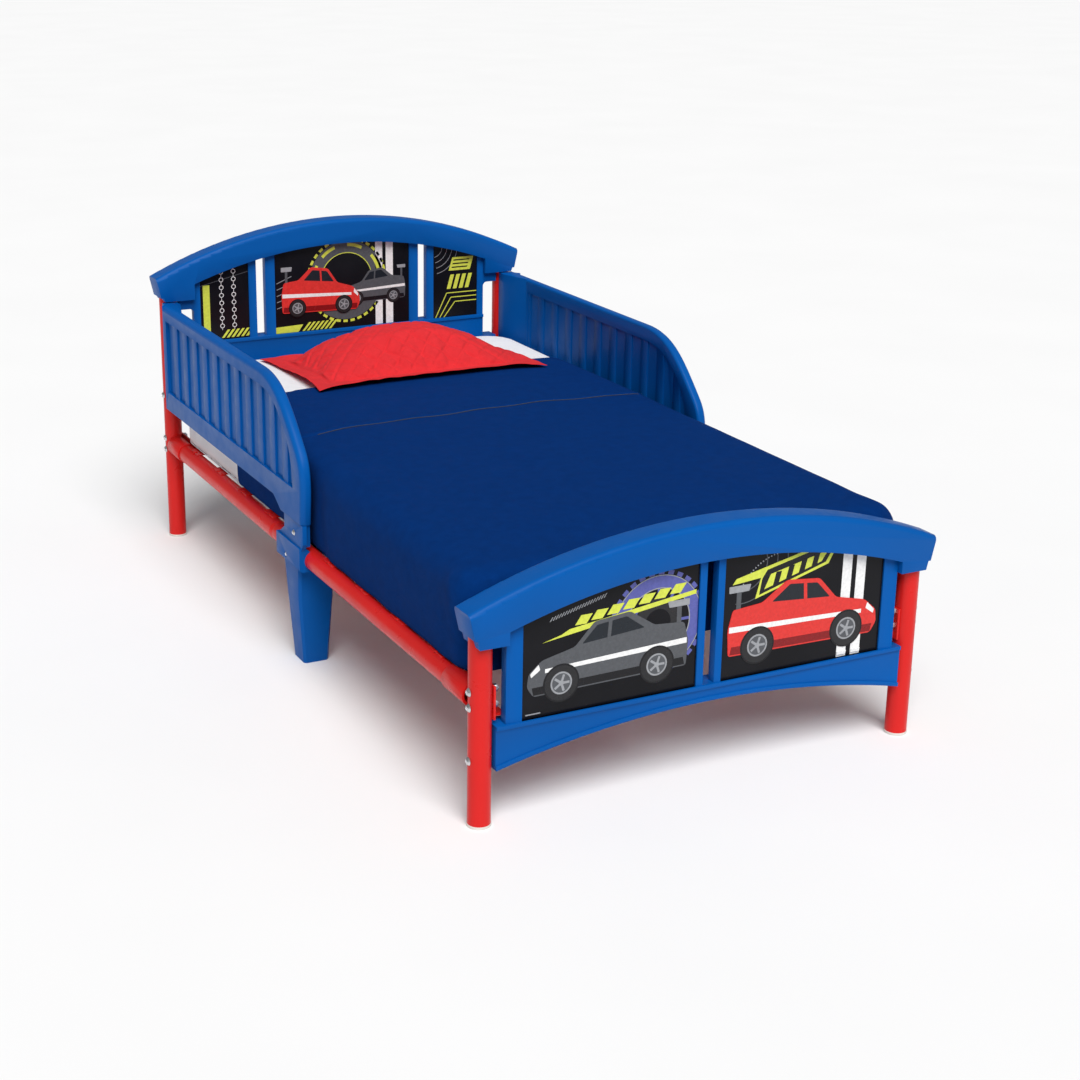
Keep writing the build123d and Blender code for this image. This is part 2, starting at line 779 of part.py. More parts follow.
# ---------------------------------------------------------------- fasteners
def add_bolt(plane, length, shank_r, head_r, head_h):
    """A screw: its head stands up from the plane and its shank goes down from it."""
    with BuildSketch(plane) as head:
        Circle(head_r)
    extrude(head.sketch, amount=head_h)
    with BuildSketch(plane) as shank:
        Circle(shank_r)
    extrude(shank.sketch, amount=-length)
    with BuildSketch(plane.offset(head_h)) as socket:
        RegularPolygon(hex_socket_r, 6)
    extrude(socket.sketch, amount=-hex_socket_depth, mode=Mode.SUBTRACT)


def outward(side, x, y, z):
    """A plane at a point, facing away from the middle of the bed."""
    return Plane(origin=(side * x, y, z), x_dir=(0, 1, 0), z_dir=(side, 0, 0))


post_side_x = post_x + tube_r
nut_x = post_x - tube_r - plate_t
rail_bolt_length = post_side_x - nut_x + nut_h + bolt_past_nut
board_bolt_length = 2 * tube_r + lower_rail_gap + board_bolt_bite
guard_bolt_length = 2 * tube_r + post_gap + guard_bolt_bite

with BuildPart() as post_bolts:
    for side in (-1, 1):
        for board, board_bolt_z in ((head_board, head_board_bolt_z), (foot_board, foot_board_bolt_z)):
            for bolt_z in rail_bolt_zs:
                seat = outward(side, post_side_x, board.post_y, bolt_z)
                add_bolt(seat, rail_bolt_length, bolt_r, bolt_head_r, bolt_head_h)
            seat = outward(side, post_side_x, board.post_y, board_bolt_z)
            add_bolt(seat, board_bolt_length, bolt_r, bolt_head_r, bolt_head_h)
save(post_bolts, "post_bolts")

with BuildPart() as rail_nuts:
    for side in (-1, 1):
        for board in (head_board, foot_board):
            for bolt_z in rail_bolt_zs:
                with BuildSketch(outward(side, nut_x, board.post_y, bolt_z)):
                    RegularPolygon(nut_r, 6)
                    Circle(bolt_r + nut_gap, mode=Mode.SUBTRACT)
                extrude(amount=-nut_h)
save(rail_nuts, "rail_nuts")

with BuildPart() as guard_bolts:
    for side in (-1, 1):
        for bolt_z in guard_bolt_zs:
            seat = Plane(
                origin=(side * post_x, post_y + tube_r, bolt_z), x_dir=(1, 0, 0), z_dir=(0, 1, 0)
            )
            add_bolt(seat, guard_bolt_length, bolt_r, bolt_head_r, bolt_head_h)
save(guard_bolts, "guard_bolts")

with BuildPart() as leg_screws:
    for side in (-1, 1):
        seat = outward(side, saddle_outer - leg_screw_head_h, *leg_screw_at)
        add_bolt(seat, leg_screw_length, leg_screw_r, leg_screw_head_r, leg_screw_head_h)
        seat = outward(side, tongue_outer, *tongue_screw_at)
        add_bolt(seat, tongue_screw_length, leg_screw_r, leg_screw_head_r, leg_screw_head_h)
save(leg_screws, "leg_screws")

with BuildPart() as slat_rivets:
    for y in slat_ys:
        for side in (-1, 1):
            with BuildSketch(Plane.XY.offset(slat_top_z)):
                with Locations((side * post_x, y)):
                    Circle(rivet_head_r)
            extrude(amount=rivet_head_h)
            with BuildSketch(Plane.XY.offset(slat_top_z)):
                with Locations((side * post_x, y)):
                    Circle(rivet_r)
            extrude(amount=-rivet_bite)
save(slat_rivets, "slat_rivets")


# ---------------------------------------------------------------- bedding
bed_middle_y = (mattress_foot_y + mattress_head_y) / 2
mattress_length = mattress_head_y - mattress_foot_y
mattress_top_z = mattress_z + mattress_height


def soft_block(z0, z1, grow, corner_r):
    """The mattress's outline grown all round, from z0 to z1, with a rounded top edge."""
    with BuildPart() as block:
        with BuildSketch(Plane.XY.offset(z0)):
            with Locations((0, bed_middle_y)):
                RectangleRounded(
                    2 * (mattress_half_width + grow), mattress_length + 2 * grow, corner_r
                )
        extrude(amount=z1 - z0)
        fillet(block.faces().sort_by(Axis.Z)[-1].edges(), radius=mattress_edge_r + grow)
    return block


def soft_shell(outside, inside):
    """What is left of one block when another is taken out of it."""
    with BuildPart() as shell:
        add(outside.part)
        add(inside.part, mode=Mode.SUBTRACT)
    return shell


mattress = soft_block(mattress_z, mattress_top_z, 0, mattress_corner_r)
save(mattress, "mattress")

below_z = 0.0
sheet_outer = sheet_gap + sheet_t
fitted_sheet = soft_shell(
    soft_block(sheet_hem_z, mattress_top_z + sheet_outer, sheet_outer, mattress_corner_r + sheet_outer),
    soft_block(below_z, mattress_top_z + sheet_gap, sheet_gap, mattress_corner_r + sheet_gap),
)
save(fitted_sheet, "fitted_sheet")

coverlet_inner = sheet_outer + coverlet_gap
coverlet_outer = coverlet_inner + coverlet_t
coverlet_top_z = mattress_top_z + coverlet_inner + coverlet_top_t
coverlet_shell = soft_shell(
    soft_block(coverlet_hem_z, coverlet_top_z, coverlet_outer, coverlet_corner_r),
    soft_block(below_z, mattress_top_z + coverlet_inner, coverlet_inner, mattress_corner_r + coverlet_inner),
)
with BuildPart() as coverlet:
    add(coverlet_shell.part)
    with BuildSketch(Plane.YZ.offset(-bed_width)):
        with BuildLine():
            Polyline(
                (bed_length, head_height),
                (coverlet_head_y, head_height),
                (coverlet_head_y, coverlet_side_z[1]),
                (coverlet_side_y, coverlet_side_z[0]),
                (coverlet_side_y, 0),
                (bed_length, 0),
                (bed_length, head_height),
            )
        make_face()
    extrude(amount=2 * bed_width, mode=Mode.SUBTRACT)
save(coverlet, "coverlet")

pillow_z = coverlet_top_z + pillow_gap
with BuildPart() as pillow:
    with BuildSketch(Plane.XY.offset(pillow_z)):
        with Locations((pillow_x, pillow_y)):
            RectangleRounded(pillow_length, pillow_depth, pillow_corner_r)
    extrude(amount=pillow_border_t)
    with BuildSketch(Plane.XY.offset(pillow_z + pillow_border_t)):
        with Locations((pillow_x, pillow_y)):
            RectangleRounded(
                pillow_length - 2 * pillow_border, pillow_depth - 2 * pillow_border, pillow_corner_r
            )
    extrude(amount=pillow_rise, taper=pillow_taper)
save(pillow, "pillow")
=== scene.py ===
from math import cos, exp, pi, radians, sin

import bmesh
import bpy
from mathutils import Matrix, Vector, noise
from mathutils.bvhtree import BVHTree


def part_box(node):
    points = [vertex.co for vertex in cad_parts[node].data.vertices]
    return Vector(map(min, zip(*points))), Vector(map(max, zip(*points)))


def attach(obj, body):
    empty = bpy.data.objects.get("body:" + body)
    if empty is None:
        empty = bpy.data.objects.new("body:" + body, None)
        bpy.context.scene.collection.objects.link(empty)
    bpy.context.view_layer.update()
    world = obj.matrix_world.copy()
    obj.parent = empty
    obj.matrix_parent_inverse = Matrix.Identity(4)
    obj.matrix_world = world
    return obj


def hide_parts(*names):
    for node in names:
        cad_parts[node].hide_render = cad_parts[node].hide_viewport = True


bl_info = {
    "name": "Toddler bed",
    "version": (1, 0, 0),
    "blender": (4, 5, 0),
    "location": "3D View > Sidebar > Toddler bed",
    "description": "Builds the finishes and bedding of a toddler bed round its fixed frame",
    "category": "Object",
}

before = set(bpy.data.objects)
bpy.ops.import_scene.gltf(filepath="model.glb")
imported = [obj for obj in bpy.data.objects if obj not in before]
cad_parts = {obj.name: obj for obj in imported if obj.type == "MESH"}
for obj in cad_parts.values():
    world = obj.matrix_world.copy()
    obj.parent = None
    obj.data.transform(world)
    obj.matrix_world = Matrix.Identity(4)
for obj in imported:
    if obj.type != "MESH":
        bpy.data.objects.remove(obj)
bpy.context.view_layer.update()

MM = 0.001
SIDES = ("left", "right")


# ------------------------------------------------------------------ settings
class BedSizes(bpy.types.PropertyGroup):
    """Sizes of the details that are added to the frame."""

    edge_round: bpy.props.FloatProperty(
        name="Edge round", description="Rounding of the moulded edges", default=1.4 * MM, unit="LENGTH"
    )
    leg_round: bpy.props.FloatProperty(
        name="Leg round", description="Rounding of the middle legs' edges", default=3.0 * MM, unit="LENGTH"
    )
    print_layer: bpy.props.FloatProperty(
        name="Print layer", description="Thickness of one layer of print", default=0.1 * MM, unit="LENGTH"
    )
    sheet_thickness: bpy.props.FloatProperty(
        name="Sheet", description="Thickness of the fitted sheet", default=1.0 * MM, unit="LENGTH"
    )
    coverlet_thickness: bpy.props.FloatProperty(
        name="Coverlet", description="Thickness of the coverlet", default=5.0 * MM, unit="LENGTH"
    )
    coverlet_crown: bpy.props.FloatProperty(
        name="Coverlet crown", description="How far the coverlet swells in its middle", default=9.0 * MM,
        unit="LENGTH",
    )
    pillow_height: bpy.props.FloatProperty(
        name="Pillow height", description="Height of the filled part of the pillow", default=62.0 * MM,
        unit="LENGTH",
    )
    quilt_pitch: bpy.props.FloatProperty(
        name="Quilting", description="Distance between the pillow's stitch lines", default=42.0 * MM,
        unit="LENGTH",
    )


class BedColours(bpy.types.PropertyGroup):
    """Colours of the finishes."""

    plastic: bpy.props.FloatVectorProperty(
        name="Plastic", description="Moulded boards, guards and legs", subtype="COLOR",
        default=(0.001, 0.086, 0.345),
    )
    steel: bpy.props.FloatVectorProperty(
        name="Steel", description="Powder coat of posts and rails", subtype="COLOR",
        default=(0.64, 0.014, 0.012),
    )
    coverlet: bpy.props.FloatVectorProperty(
        name="Coverlet", description="Cotton of the coverlet", subtype="COLOR", default=(0.001, 0.027, 0.145)
    )
    pillow: bpy.props.FloatVectorProperty(
        name="Pillow", description="Quilted cotton of the pillow", subtype="COLOR",
        default=(0.68, 0.030, 0.036),
    )
    sheet: bpy.props.FloatVectorProperty(
        name="Sheet", description="Cotton of the sheet", subtype="COLOR", default=(0.86, 0.86, 0.88)
    )


def sizes():
    return bpy.context.scene.bed_sizes


def colours():
    return bpy.context.scene.bed_colours


# ------------------------------------------------------------------ materials
class Finish:
    """A new material, with short ways to add nodes and join them."""

    def __init__(self, name, colour, roughness, **sockets):
        self.material = bpy.data.materials.new(name)
        self.material.use_nodes = True
        self.tree = self.material.node_tree
        self.shader = self.tree.nodes["Principled BSDF"]
        self.shader.inputs["Base Color"].default_value = (*colour, 1)
        self.shader.inputs["Roughness"].default_value = roughness
        for socket, value in sockets.items():
            self.shader.inputs[socket.replace("_", " ")].default_value = value
        self.place = self.node("ShaderNodeTexCoord").outputs["Object"]

    def node(self, kind, inputs=(), **settings):
        made = self.tree.nodes.new(kind)
        for key, value in settings.items():
            setattr(made, key, value)
        for key, value in dict(inputs).items():
            self.join(value, made.inputs[key])
        return made

    def join(self, value, socket):
        if isinstance(value, bpy.types.NodeSocket):
            self.tree.links.new(value, socket)
        else:
            socket.default_value = value

    def noise(self, scale, detail=3.0, roughness=0.5, place=None):
        inputs = {"Vector": place or self.place, "Scale": scale, "Detail": detail, "Roughness": roughness}
        return self.node("ShaderNodeTexNoise", inputs).outputs["Fac"]

    def band(self, scale, direction, place=None, distortion=0.0):
        inputs = {"Vector": place or self.place, "Scale": scale, "Distortion": distortion}
        made = self.node("ShaderNodeTexWave", inputs, bands_direction=direction)
        return made.outputs["Fac"]

    def sum(self, operation, a, b):
        return self.node("ShaderNodeMath", {0: a, 1: b}, operation=operation).outputs["Value"]

    def spread(self, value, low, high):
        """value, which runs from about 0.3 to 0.7, spread from low to high."""
        inputs = {"Value": value, "From Min": 0.3, "From Max": 0.7, "To Min": low, "To Max": high}
        return self.node("ShaderNodeMapRange", inputs).outputs["Result"]

    def blend(self, factor, a, b):
        made = self.node("ShaderNodeMix", data_type="RGBA")
        for value, socket in ((factor, made.inputs["Factor"]), (a, made.inputs["A"]), (b, made.inputs["B"])):
            self.join(value, socket)
        return made.outputs["Result"]

    def tint(self, factor, colour, low, high):
        """The base colour runs from low to high times the given colour."""
        dark = (*[min(1.0, c * low) for c in colour], 1)
        light = (*[min(1.0, c * high) for c in colour], 1)
        self.join(self.blend(factor, dark, light), self.shader.inputs["Base Color"])

    def rough(self, value, low, high):
        self.join(self.spread(value, low, high), self.shader.inputs["Roughness"])

    def bump(self, height, depth, strength=1.0, after=None):
        inputs = {"Height": height, "Distance": depth, "Strength": strength}
        if after:
            inputs["Normal"] = after
        normal = self.node("ShaderNodeBump", inputs).outputs["Normal"]
        self.join(normal, self.shader.inputs["Normal"])
        return normal

    def weave(self, pitch, depth, after=None):
        """Threads that cross under and over at the given pitch, on all sides."""
        scale = 1 / (pitch * 2)
        across = self.sum("MULTIPLY", self.band(scale, "X"), self.band(scale, "Y"))
        around = self.sum("MULTIPLY", self.band(scale, "Z"), self.band(scale, "DIAGONAL"))
        return self.bump(self.sum("ADD", across, around), depth, 0.6, after)


def moulded_plastic():
    """Blue moulded plastic with a fine satin grain."""
    colour = colours().plastic
    finish = Finish("moulded_plastic", colour, 0.36, Specular_IOR_Level=0.09)
    cloud = finish.noise(3.5, 2.0)
    finish.tint(finish.spread(cloud, 0.0, 1.0), colour, 0.93, 1.07)
    finish.rough(finish.noise(40.0, 4.0), 0.32, 0.44)
    flow = finish.bump(finish.noise(12.0, 2.0), 0.6 * MM, 0.35)
    finish.bump(finish.noise(1400.0, 2.0), 0.05 * MM, 0.5, flow)
    return finish.material


def powder_coat(name, colour):
    """Powder coat on steel, with a slight orange peel and dull patches."""
    finish = Finish(name, colour, 0.3, Specular_IOR_Level=0.2)
    finish.tint(finish.spread(finish.noise(6.0), 0.0, 1.0), colour, 0.93, 1.05)
    finish.rough(finish.noise(25.0, 4.0), 0.26, 0.38)
    finish.bump(finish.noise(420.0, 2.0), 0.12 * MM, 0.4)
    return finish.material


def zinc_plate():
    """Bright zinc with a fine grain and a cloudy finish."""
    colour = (0.66, 0.66, 0.68)
    finish = Finish("zinc_plate", colour, 0.28, Metallic=1.0)
    finish.tint(finish.spread(finish.noise(160.0), 0.0, 1.0), colour, 0.8, 1.1)
    finish.rough(finish.noise(300.0), 0.2, 0.4)
    finish.bump(finish.noise(2500.0), 0.03 * MM, 0.5)
    return finish.material


def cap_plastic():
    """Pale satin plastic of the foot caps, a little scuffed."""
    colour = (0.74, 0.71, 0.66)
    finish = Finish("cap_plastic", colour, 0.45)
    finish.tint(finish.spread(finish.noise(60.0), 0.0, 1.0), colour, 0.85, 1.05)
    finish.rough(finish.noise(200.0), 0.38, 0.6)
    finish.bump(finish.noise(900.0), 0.05 * MM, 0.6)
    return finish.material


def board_gloss():
    """Black board with a smooth printed gloss face."""
    colour = (0.006, 0.006, 0.008)
    finish = Finish("board_gloss", colour, 0.2, Specular_IOR_Level=0.14)
    finish.tint(finish.spread(finish.noise(14.0), 0.0, 1.0), colour, 0.8, 1.3)
    finish.rough(finish.noise(30.0), 0.16, 0.26)
    finish.bump(finish.noise(120.0), 0.05 * MM, 0.2)
    return finish.material


def ink(name, colour):
    """A printed ink, glossy, with the slight unevenness of a print."""
    finish = Finish("ink_" + name, colour, 0.24, Specular_IOR_Level=0.25)
    finish.tint(finish.spread(finish.noise(220.0, 4.0), 0.0, 1.0), colour, 0.9, 1.08)
    finish.rough(finish.noise(60.0), 0.2, 0.3)
    finish.bump(finish.noise(800.0), 0.02 * MM, 0.4)
    return finish.material


def cotton(name, colour, pitch, sheen, cloud=0.08):
    """Woven cotton with visible threads, slubs and a soft sheen."""
    finish = Finish(name, colour, 0.85, Sheen_Weight=sheen, Sheen_Roughness=0.45, Specular_IOR_Level=0.02)
    slub = finish.noise(60.0, 5.0, 0.65)
    finish.tint(finish.spread(slub, 0.0, 1.0), colour, 1 - cloud, 1 + cloud)
    finish.rough(finish.noise(18.0), 0.78, 0.92)
    fuzz = finish.bump(finish.noise(700.0, 4.0, 0.7), 0.25 * MM, 0.45)
    finish.weave(pitch, 0.18 * MM, fuzz)
    return finish.material


def ticking():
    """White mattress ticking with pale stripes."""
    colour = (0.82, 0.82, 0.83)
    finish = Finish("ticking", colour, 0.8, Sheen_Weight=0.2)
    stripe = finish.band(9.0, "X")
    finish.tint(finish.spread(stripe, 0.0, 1.0), colour, 0.9, 1.0)
    finish.weave(0.9 * MM, 0.2 * MM)
    return finish.material


def stitching(name, colour):
    """Twisted sewing thread, with painted shade in the grooves of its twist."""
    finish = Finish(name, colour, 0.7, Sheen_Weight=0.3)
    # Painted shade and highlight: the colour follows the bump's wave, darker in the twist's grooves and
    # lighter on its crests.
    finish.tint(finish.band(400.0, "DIAGONAL"), colour, 0.75, 1.1)
    finish.bump(finish.band(400.0, "DIAGONAL"), 0.2 * MM)
    return finish.material


def paint_node(name, material):
    """A CAD node keeps its mesh and gets a material in every slot."""
    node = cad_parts[name]
    if not node.material_slots:
        node.data.materials.append(material)
    for slot in node.material_slots:
        slot.material = material


# ------------------------------------------------------------------ mesh helpers
def new_piece(name, bm, materials, smooth_angle=None):
    """A finished piece from a bmesh, shaded smooth up to an angle."""
    mesh = bpy.data.meshes.new(name)
    for face in bm.faces:
        face.smooth = True
    bm.to_mesh(mesh)
    bm.free()
    for material in materials:
        mesh.materials.append(material)
    if smooth_angle is not None:
        mesh.set_sharp_from_angle(angle=smooth_angle)
    piece = bpy.data.objects.new(name, mesh)
    bpy.context.scene.collection.objects.link(piece)
    return piece


def merged_copy(node):
    """A bmesh of a CAD node with its loose triangles joined into whole faces."""
    bm = bmesh.new()
    bm.from_mesh(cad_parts[node].data)
    bmesh.ops.remove_doubles(bm, verts=bm.verts, dist=0.002 * MM)
    bmesh.ops.dissolve_limit(bm, angle_limit=radians(0.5), verts=bm.verts, edges=bm.edges)
    bmesh.ops.recalc_face_normals(bm, faces=bm.faces)
    return bm


def softened(node, material, width, segments=2):
    """Stands for a CAD node of the same shape, with its sharp edges rounded."""
    piece = new_piece(node + "_moulding", merged_copy(node), [material])
    bevel = piece.modifiers.new("Edges", "BEVEL")
    bevel.width = width
    bevel.segments = segments
    bevel.limit_method = "ANGLE"
    bevel.angle_limit = radians(32)
    bevel.harden_normals = True
    bevel.miter_outer = "MITER_ARC"
    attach(piece, "frame")
    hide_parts(node)
    return piece


def apply_modifiers(piece):
    """The piece's mesh as its modifiers leave it, with none of them left."""
    graph = bpy.context.evaluated_depsgraph_get()
    mesh = bpy.data.meshes.new_from_object(piece.evaluated_get(graph))
    piece.modifiers.clear()
    piece.data = mesh


def remeshed(node, voxel):
    """A bmesh of a CAD node's outer shape in even small faces."""
    piece = new_piece("cutting", merged_copy(node), [])
    remesh = piece.modifiers.new("Remesh", "REMESH")
    remesh.mode = "VOXEL"
    remesh.voxel_size = voxel
    apply_modifiers(piece)
    bm = bmesh.new()
    bm.from_mesh(piece.data)
    bpy.data.objects.remove(piece)
    return bm


def ramp(value, low, high):
    """0 below low, 1 above high, smooth between."""
    t = min(1.0, max(0.0, (value - low) / (high - low)))
    return t * t * (3 - 2 * t)


def rough_noise(point, size):
    """Smooth noise from -1 to 1 with features of about that size."""
    return noise.noise(Vector(point) / size)


# ------------------------------------------------------------------ operators for the frame
class BED_OT_mouldings(bpy.types.Operator):
    """Round the edges of the blue mouldings and give them their plastic"""

    bl_idname = "bed.mouldings"
    bl_label = "Mouldings"

    def execute(self, context):
        plastic = moulded_plastic()
        width = sizes().edge_round
        for board in ("headboard", "footboard"):
            softened(board + "_top_rail", plastic, 2 * width)
            softened(board + "_frame", plastic, width / 2)
        for side in SIDES:
            softened("guard_rail_" + side, plastic, width)
            softened("middle_leg_" + side, plastic, sizes().leg_round, 3)
        return {"FINISHED"}


class BED_OT_steelwork(bpy.types.Operator):
    """Powder coat the posts, rails, brackets and slats, and finish the foot caps"""

    bl_idname = "bed.steelwork"
    bl_label = "Steelwork"

    def execute(self, context):
        red = powder_coat("red_powder_coat", colours().steel)
        caps = cap_plastic()
        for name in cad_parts:
            if name.startswith(("post_head", "post_foot", "side_rail")):
                paint_node(name, red)
            elif name.startswith("rail_bracket"):
                softened(name, red, 0.5 * MM)
            elif name.startswith("slat_") and name != "slat_rivets":
                softened(name, red, 0.4 * MM)
            elif name.startswith("foot_cap"):
                paint_node(name, caps)
        return {"FINISHED"}


def button_head(bm, radius, height, socket):
    """A domed screw head on the plane z = 0, with a hexagon socket."""
    dome = bmesh.ops.create_cone(
        bm, segments=28, radius1=radius, radius2=radius * 0.62, depth=height * 0.8, cap_ends=True
    )
    bmesh.ops.translate(bm, verts=dome["verts"], vec=(0, 0, height * 0.4))
    top = max((f for f in bm.faces if len(f.verts) == 28), key=lambda f: f.calc_center_median().z)
    raised = bmesh.ops.inset_region(bm, faces=[top], thickness=radius * 0.16, depth=height * 0.2)
    rim = [e for f in raised["faces"] for e in f.edges]
    bmesh.ops.bevel(
        bm, geom=list(set(rim)), offset=radius * 0.1, affect="EDGES", segments=2, profile=0.5, material=-1
    )
    cup = bmesh.ops.create_cone(
        bm, segments=6, radius1=socket, radius2=socket, depth=0.12 * MM, cap_ends=True
    )
    bmesh.ops.translate(bm, verts=cup["verts"], vec=(0, 0, height + 0.02 * MM))
    inner = max((f for f in bm.faces if len(f.verts) == 6), key=lambda f: f.calc_center_median().z)
    bmesh.ops.inset_region(bm, faces=[inner], thickness=socket * 0.18, depth=0)
    bmesh.ops.translate(bm, verts=inner.verts, vec=(0, 0, -height * 0.45))


def shank(bm, radius, length):
    """A plain shank below the plane z = 0."""
    made = bmesh.ops.create_cone(
        bm, segments=20, radius1=radius, radius2=radius, depth=length, cap_ends=True
    )
    bmesh.ops.translate(bm, verts=made["verts"], vec=(0, 0, -length / 2))


def turned_to(direction):
    """The turn that takes +Z to a direction."""
    return Vector((0, 0, 1)).rotation_difference(Vector(direction)).to_matrix().to_4x4()


def solid_boxes(node):
    """The lowest and highest corners of each separate solid in a CAD node."""
    bm = merged_copy(node)
    seen = set()
    boxes = []
    for start in bm.verts:
        if start in seen:
            continue
        group = [start]
        seen.add(start)
        for vert in group:
            for edge in vert.link_edges:
                other = edge.other_vert(vert)
                if other not in seen:
                    seen.add(other)
                    group.append(other)
        low = Vector([min(v.co[i] for v in group) for i in range(3)])
        high = Vector([max(v.co[i] for v in group) for i in range(3)])
        boxes.append((low, high))
    bm.free()
    return boxes


def add_screws(bm, node, head_radius, head_height, shank_radius, direction_of):
    """One screw where each solid of the node is."""
    for low, high in solid_boxes(node):
        direction = direction_of(low, high)
        axis = max(range(3), key=lambda i: abs(direction[i]))
        tip = (low + high) / 2
        tip[axis] = high[axis] if direction[axis] > 0 else low[axis]
        seat = tip - direction * head_height
        made = bmesh.new()
        button_head(made, head_radius, head_height, head_radius * 0.4)
        shank(made, shank_radius, (high - low)[axis] - head_height)
        made.transform(Matrix.Translation(seat) @ turned_to(direction))
        mesh = bpy.data.meshes.new("screw")
        made.to_mesh(mesh)
        made.free()
        bm.from_mesh(mesh)
        bpy.data.meshes.remove(mesh)


def away_sideways(low, high):
    return Vector((1 if low.x + high.x > 0 else -1, 0, 0))


class BED_OT_fasteners(bpy.types.Operator):
    """Make the bolts, nuts, screws and rivets"""

    bl_idname = "bed.fasteners"
    bl_label = "Fasteners"

    def execute(self, context):
        zinc = zinc_plate()
        red = powder_coat("rivet_powder_coat", colours().steel)
        screws = (
            ("post_bolts", 6.0, 3.6, 3.0, away_sideways, zinc, "zinc_fasteners"),
            ("guard_bolts", 6.0, 3.6, 3.0, lambda low, high: Vector((0, 1, 0)), zinc, "zinc_fasteners"),
            ("leg_screws", 4.8, 2.5, 2.2, away_sideways, zinc, "zinc_fasteners"),
            ("slat_rivets", 4.5, 1.6, 2.0, lambda low, high: Vector((0, 0, 1)), red, "red_steel"),
        )
        for node, radius, height, shank_radius, direction_of, material, slot in screws:
            bm = bmesh.new()
            add_screws(bm, node, radius * MM, height * MM, shank_radius * MM, direction_of)
            piece = new_piece(node + "_turned", bm, [material], radians(35))
            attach(piece, "frame")
            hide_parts(node)
        softened("rail_nuts", zinc, 0.5 * MM)
        return {"FINISHED"}


# ------------------------------------------------------------------ prints
INKS = {
    "lime": (0.62, 0.68, 0.08),
    "white": (0.80, 0.80, 0.80),
    "red": (0.66, 0.035, 0.03),
    "maroon": (0.22, 0.008, 0.01),
    "slate": (0.085, 0.09, 0.10),
    "silver": (0.30, 0.31, 0.33),
    "glass": (0.012, 0.016, 0.022),
    "tyre": (0.02, 0.02, 0.022),
    "violet": (0.10, 0.11, 0.36),
    "black": (0.008, 0.008, 0.01),
}
PANEL_BITE = 3.3 * MM
PRINT_MARGIN = 0.4 * MM


def on_circle(centre, radius, angle):
    """A point on a circle, at an angle in degrees."""
    return (centre[0] + radius * cos(radians(angle)), centre[1] + radius * sin(radians(angle)))


